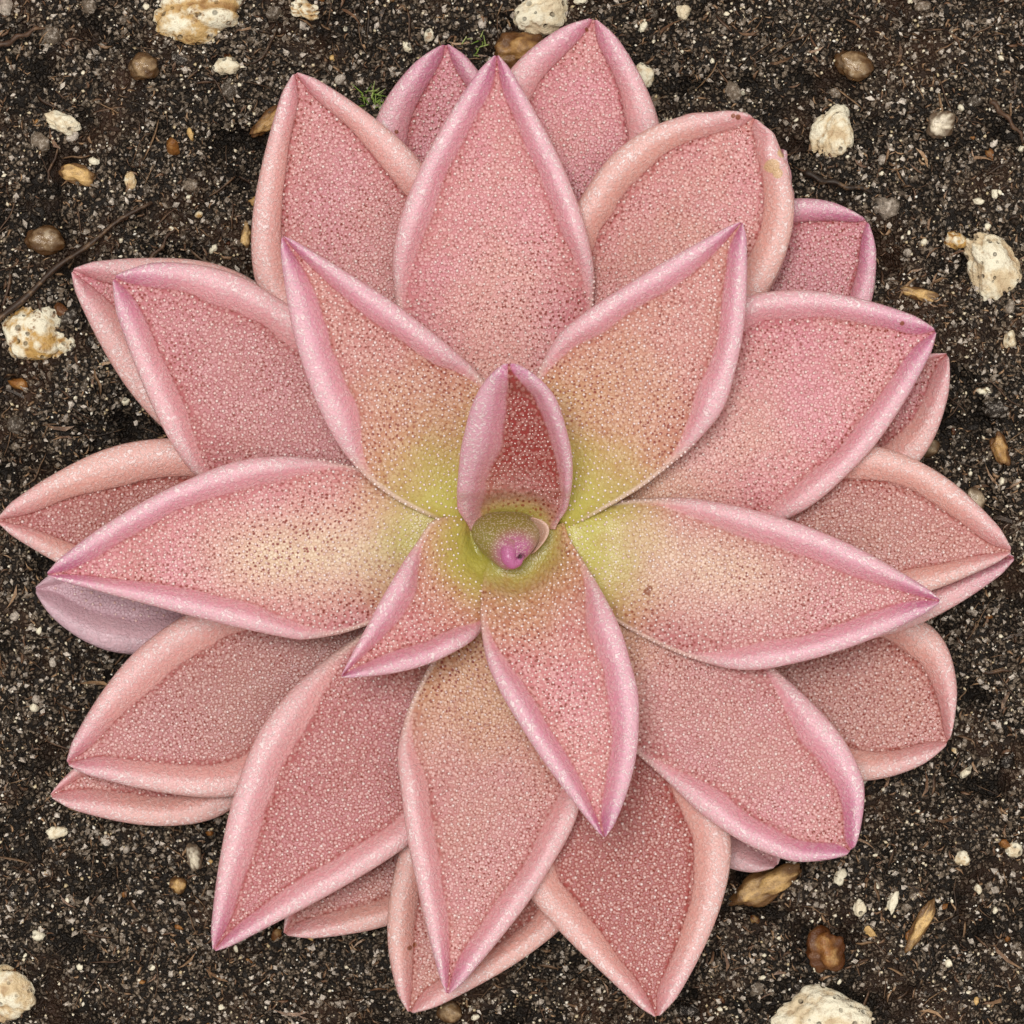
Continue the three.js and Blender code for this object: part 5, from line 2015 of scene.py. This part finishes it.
        radius = np.hypot(places[:, 0], places[:, 1])
        size = (0.075 + 0.045 * random.random(n) ** 1.5) * (1.0 + 0.1 * on_rim) * (0.76 if one.lift else 1.0)
        size = size + 0.035 * smoothstep(radius, 9, 22)
        places[:, 2] += 0.3 * size
        sizes = np.stack([size, size, size * 0.95], -1)
        turns = np.stack([np.zeros(n), np.zeros(n), random.random(n) * 2 * np.pi], -1)
        tone = 0.1 + 0.4 * smoothstep(radius, 8, 20) + 0.6 * random.random(n) + 0.4 * (one.lift > 0)
        return scattered(bead(5), places, sizes, turns, tone=np.clip(tone, 0, 1))

    def build(self, leaf_finish: Material, droplet_finish: Material) -> None:
        """Builds each leaf and its droplets.

        Args:
            leaf_finish: The leaves' material.
            droplet_finish: The droplets' material.
        """
        for number, one in enumerate(LEAVES, 1):
            slot = "young_leaf" if number <= 12 else "old_leaf"
            self.skin(one, number).build(f"leaf_skin_{number:02d}", leaf_finish, slot, f"leaf_{number:02d}")
            self.droplets(one, number).build(f"leaf_droplets_{number:02d}", droplet_finish, slot)


@dataclass
class Heart:
    """The crown with its roots, and the bud of folded leaves on it."""

    soil_level: float = 56.5
    leaf_floor: float = 57.7
    tier: float = 1.15
    crown_depth: float = 6.0
    root_count: int = 8
    root_length: float = 15.0

    @property
    def crown_top(self) -> float:
        """Height of the crown's top."""
        return self.leaf_floor + 7 * self.tier + 0.1

    def build_crown(self, finish: Material) -> None:
        """A turned stem with a domed top, and tapered roots that spread from its foot.

        Args:
            finish: Its material.
        """
        foot = self.soil_level - self.crown_depth
        profile = np.array([(2.4, foot), (2.85, foot + 0.4), (3.0, foot + 1.0), (3.0, foot + 4),
                            (3.0, foot + 9), (3.0, foot + 14.0), (2.75, foot + 14.6), (2.2, foot + 15.1),
                            (1.5, foot + 15.35)])
        angle = around(40)
        swell = 1 + 0.02 * np.sin(angle * 5)[None]
        rows = np.stack([profile[:, :1] * np.cos(angle) * swell, profile[:, :1] * np.sin(angle) * swell,
                         profile[:, 1:] + 0 * angle], -1)
        green = smoothstep(rows[..., 2], self.soil_level, self.soil_level + 3)
        parts = [Shape.grid(rows, green=green).outward()]
        for index in range(self.root_count):
            share = np.linspace(0, 1, 16)
            turn = index / self.root_count * 2 * np.pi + 0.3 * math.sin(index * 2.4)
            turn = turn + 0.22 * np.sin(share * 5 + index)
            out = 1.7 + 3.6 * share**0.9
            girth = (0.75 - 0.45 * share) * (1 + 0.06 * np.sin(share * 25 + index))
            length = self.root_length * (0.86 + 0.12 * math.sin(index * 1.9))
            level = foot + 1.5 - share * (length + 1.5)
            round_ = around(9)
            ring = np.stack([(out * np.cos(turn))[:, None] + girth[:, None] * np.cos(round_),
                             (out * np.sin(turn))[:, None] + girth[:, None] * np.sin(round_),
                             level[:, None] + 0 * round_], -1)
            parts.append(Shape.grid(ring, green=0.0).outward())
        Shape.joined(parts).build("crown_skin", finish, "crown", "crown_and_roots")

    def hood(self) -> Shape:
        """The outer folded leaf: rings of a shield's outline that shrink as a quarter circle while
        their middle moves to the curled nose.

        The outline's half-width is a + b y + c y^2 on the cosine's 0.7th power, so that it is broad
        at the upper left and narrows to the nose.

        Returns:
            The hood.
        """
        level = np.linspace(0, 1, 30)[:, None]
        turn = around(64)[None]
        y = 2.25 * np.sin(turn)
        half = 2.55 + 0.45 * y - 0.13 * y**2
        x = -0.45 + half * np.sign(np.cos(turn)) * np.abs(np.cos(turn)) ** 0.7
        dome = np.sqrt(1 - np.clip((level - 0.2) / 0.805, 0, 1) ** 2)
        size = (0.84 + 0.16 * smoothstep(level, 0, 0.25)) * dome**0.85
        move = smoothstep(level, 0.25, 1.0)
        px, py = x * size + 0.15 * move, y * size - 0.62 * move
        z = self.crown_top + 0.4 + 3.5 * level + 0.12 * move * np.sin(3 * turn)
        away = np.hypot(px - 0.25, py + 1.0)
        rows = np.stack([px, py, z + 0 * px], -1)
        ruddy = 0.55 * smoothstep(px + 0.6 * (1 - py), 0.2, 2.6)
        # Painted shade: a dark spot where the nose curls in on itself.
        hole = 0.8 * (1 - smoothstep(np.hypot(px - 0.78, py + 1.2), 0.1, 0.34))
        return Shape.grid(rows, tip=0.92 * (1 - smoothstep(away, 0.75, 2.35)), ruddy=ruddy, curl=0.0,
                          rim=0.0, hole=hole).outward()

    def nose(self) -> Shape:
        """The hood's tip: a fat tube along a curve through six points, wound in on itself.

        Returns:
            The tube.
        """
        knots = np.linspace(0, 1, 7)
        t = np.linspace(0, 1, 40)
        path = np.array([(0.05, 0.0, 2.9), (-0.28, -0.75, 3.35), (-0.27, -1.35, 3.5), (0.02, -1.72, 3.4),
                         (0.42, -1.62, 3.35), (0.7, -1.3, 3.45), (0.62, -1.0, 3.5)])
        girths = np.array([0.62, 0.66, 0.6, 0.54, 0.42, 0.26, 0.1])
        basis = np.clip(1 - np.abs(t[:, None] - knots[None]) * 6, 0, 1)
        weights = basis**2 * (3 - 2 * basis)
        weights = 0.5 * weights + 0.5 * basis
        weights /= weights.sum(1, keepdims=True)
        middle = weights @ path
        for _ in range(3):
            middle[1:-1] = 0.25 * middle[:-2] + 0.5 * middle[1:-1] + 0.25 * middle[2:]
        girth = (weights @ girths) * np.sqrt(np.clip(np.minimum(t / 0.04, (1 - t) / 0.03), 0.05, 1))
        ahead = np.gradient(middle, axis=0)
        ahead /= np.linalg.norm(ahead, axis=1, keepdims=True)
        side = np.cross(ahead, (0, 0, 1.0))
        side /= np.linalg.norm(side, axis=1, keepdims=True)
        up = np.cross(side, ahead)
        turn = around(20)[None, :, None]
        ring = side[:, None] * np.cos(turn) + up[:, None] * np.sin(turn)
        rows = middle[:, None] + girth[:, None, None] * ring
        rows[..., 2] += self.crown_top + 0.15
        # Painted shade in the hollow inside the nose's curl.
        hole = 1 - smoothstep(np.hypot(rows[..., 0] - 0.6, rows[..., 1] + 1.22), 0.12, 0.34)
        tip = smoothstep(t, -0.1, 0.25)[:, None]
        return Shape.grid(rows, tip=tip, ruddy=0.6, curl=1.0, rim=0.0, hole=hole).outward()

    def flap(self) -> Shape:
        """The second young leaf: a cupped lip between the hood's right side and a corner beyond it.

        Its inner and outer edges are quadratic curves; each ring is an ellipse across the lip.

        Returns:
            The lip.
        """
        t = np.linspace(0, 1, 30)[:, None]

        def bend(first: tuple[float, ...], middle: tuple[float, ...], last: tuple[float, ...]) -> Array:
            """A quadratic curve through two ends, drawn towards a middle."""
            return (1 - t) ** 2 * np.array(first) + 2 * t * (1 - t) * np.array(middle) + t**2 * np.array(last)

        inner = bend((1.3, 1.75, 2.1), (2.2, 0.5, 1.6), (1.35, -1.1, 1.9))
        outer = bend((1.6, 1.8, 2.3), (4.1, 1.25, 3.1), (1.75, -0.95, 2.1))
        turn = around(16)[None]
        middle, half = (inner + outer)[:, None] / 2, (outer - inner)[:, None] / 2
        rows = middle + half * np.cos(turn)[..., None]
        rows[..., 2] += self.crown_top + 0.17 * np.sin(turn)
        rim = 0.8 * smoothstep(np.cos(turn), 0.35, 0.85)
        return Shape.grid(rows, tip=0.12, ruddy=1.0, curl=0.6, rim=rim, hole=0.0).outward()

    def build_bud(self, finish: Material) -> None:
        """The bud from its three parts."""
        Shape.joined([self.hood(), self.nose(), self.flap()]).build("bud_skin", finish, "bud", "bud")


# The studio
@dataclass
class Studio:
    """Pale floor, soft lights and a camera that looks straight down."""

    view_level: float = 62.5
    view_distance: float = 300.0
    view_y: float = 2.2
    lens: float = 133.5
    sensor: float = 36.0
    floor_half: float = 3.0
    glow: float = 0.58
    key: float = 5.3
    fill: float = 1.5

    def light(self, name: str, place: tuple[float, float, float], size: float, watts: float) -> None:
        """A square soft light aimed at the plant.

        Args:
            name: The lamp's name.
            place: Where it hangs, in metres.
            size: Its side, in metres.
            watts: Its power.
        """
        data = bpy.data.lights.new(name, "AREA")
        data.size, data.energy = size, watts
        lamp = bpy.data.objects.new(name, data)
        lamp.location = place
        aim = Vector((0, 0, self.view_level * MM)) - Vector(place)
        lamp.rotation_euler = aim.to_track_quat("-Z", "Y").to_euler()
        bpy.context.scene.collection.objects.link(lamp)

    def build(self, finish: Material) -> None:
        """Sets the floor, the world, the lights and the camera.

        Args:
            finish: The floor's material.
        """
        scene = bpy.context.scene
        side = self.floor_half
        mesh = bpy.data.meshes.new("floor")
        mesh.from_pydata([(-side, -side, 0), (side, -side, 0), (side, side, 0), (-side, side, 0)], [],
                         [(0, 1, 2, 3)])
        mesh.materials.append(finish)
        floor = bpy.data.objects.new("floor", mesh)
        scene.collection.objects.link(floor)
        world = bpy.data.worlds.new("studio")
        world.use_nodes = True
        sky = world.node_tree.nodes["Background"].inputs
        sky["Color"].default_value = (1.0, 0.98, 0.96, 1)
        sky["Strength"].default_value = self.glow
        scene.world = world
        self.light("key", (-0.1, 0.13, 0.99), 0.25, self.key)
        self.light("fill", (0.5, -0.3, 0.85), 0.8, self.fill)
        scene.view_settings.view_transform = "Standard"
        data = bpy.data.cameras.new("camera")
        data.sensor_width, data.lens = self.sensor, self.lens
        camera = bpy.data.objects.new("camera", data)
        camera.location = (0.0, self.view_y * MM, (self.view_level + self.view_distance) * MM)
        scene.collection.objects.link(camera)
        scene.camera = camera


def main() -> None:
    """Builds the finishes, then each sub-assembly in order, and reports them."""
    logging.basicConfig(level=logging.INFO, format="%(name)s: %(message)s")
    effects = Effects()
    peat = LitterFinish("peat_crumb", "#140e0a", "#83725f", "#eedfcc", 0.24, 0.16, 0.12, 0.35, 0.5)
    shred = LitterFinish("peat_shred", "#22160e", "#755640", "#b9946e", 0.3, 0.2, 0.06, 0.6, 0.5)
    grit = LitterFinish("grit", "#c9b48a", "#e9dcbf", "#fbf7ea", 0.35, 0.6, 0.05, 1.0, 0.2)
    fibre = LitterFinish("fibre", "#21150d", "#533a29", "#957452", 0.5, 0.3, 0.05, 0.8, 0.5)
    bark = LitterFinish("bark", "#4a240e", "#94602c", "#e6bd7a", 0.34, 0.45, 0.16, 1.1, 0.35)
    pebble = LitterFinish("pebble", "#46290f", "#a48762", "#eadcc0", 0.2, 0.4, 0.08, 0.8, 0.3)
    moss = LitterFinish("moss", "#5c7a2c", "#93ad4d", "#d3dc92", 0.5, 0.5, 0.02)
    fibre_skin, grit_skin = fibre.material(effects), grit.material(effects)
    perlite = PerliteFinish().material(effects)
    bark_skin, pebble_skin = bark.material(effects), pebble.material(effects)
    pot = ClayPot()
    pot.build(ClayFinish().material(effects))
    mix = PottingMix(pot)
    mix.build_body(MixFinish().material(effects))
    peat_skin, shred_skin = peat.material(effects), shred.material(effects)
    for skin, litter in (
            (peat_skin, Litter("peat_crumbs", bead(4), 25500, 21, (0.12, 0.3), long=0.6,
                               rough=0.4, sunk=-0.15, tumble=0.7)),
            (shred_skin, Litter("peat_shreds", splinter(), 9500, 22, (0.15, 0.42), flat=1.0,
                                rough=0.35, sunk=-0.45, tumble=0.4, thin=0.32, smooth=True)),
            (shred_skin, Litter("wood_shreds", splinter(), 800, 27, (0.3, 1.1), sunk=-0.2,
                                tumble=0.2, thin=0.18)),
            (peat_skin, Litter("peat_lumps", ball(2), 120, 23, (0.35, 0.85), rough=0.16, sunk=0.2,
                               smooth=True)),
            (grit_skin, Litter("grit_specks", bead(4), 4600, 24, (0.07, 0.18), rough=0.25,
                               sunk=-2.4, slot="perlite", smooth=True)),
            (perlite, Litter("perlite_grains", ball(1), 230, 25, (0.16, 0.5), flat=0.75,
                             rough=0.25, sunk=-0.4, slot="perlite", smooth=True)),
            (bark_skin, Litter("bark_chips", ball(1), 90, 26, (0.2, 0.6), flat=0.7, long=1.2,
                               rough=0.35, sunk=0.0, smooth=True))):
        mix.scatter(litter, skin)
    mix.build_fibres(fibre_skin)
    mix.build_bits({Kind.PERLITE: perlite, Kind.PEBBLE: pebble_skin, Kind.BARK: bark_skin})
    mix.build_twigs(fibre_skin)
    mix.build_moss(moss.material(effects))
    PerliteStones(mix).build(perlite)
    heart = Heart()
    heart.build_crown(CrownFinish().material(effects))
    heart.build_bud(BudFinish().material(effects))
    Rosette().build(LeafFinish().material(effects), DropletFinish().material())
    Studio().build(FloorFinish().material())
    faces = sum(sum(len(p.vertices) - 2 for p in o.data.polygons) for o in bpy.data.objects
                if o.type == "MESH" and o.name not in frame["nodes"])
    LOG.info("triangles in all: %d", faces)


if __name__ == "__main__":
    main()
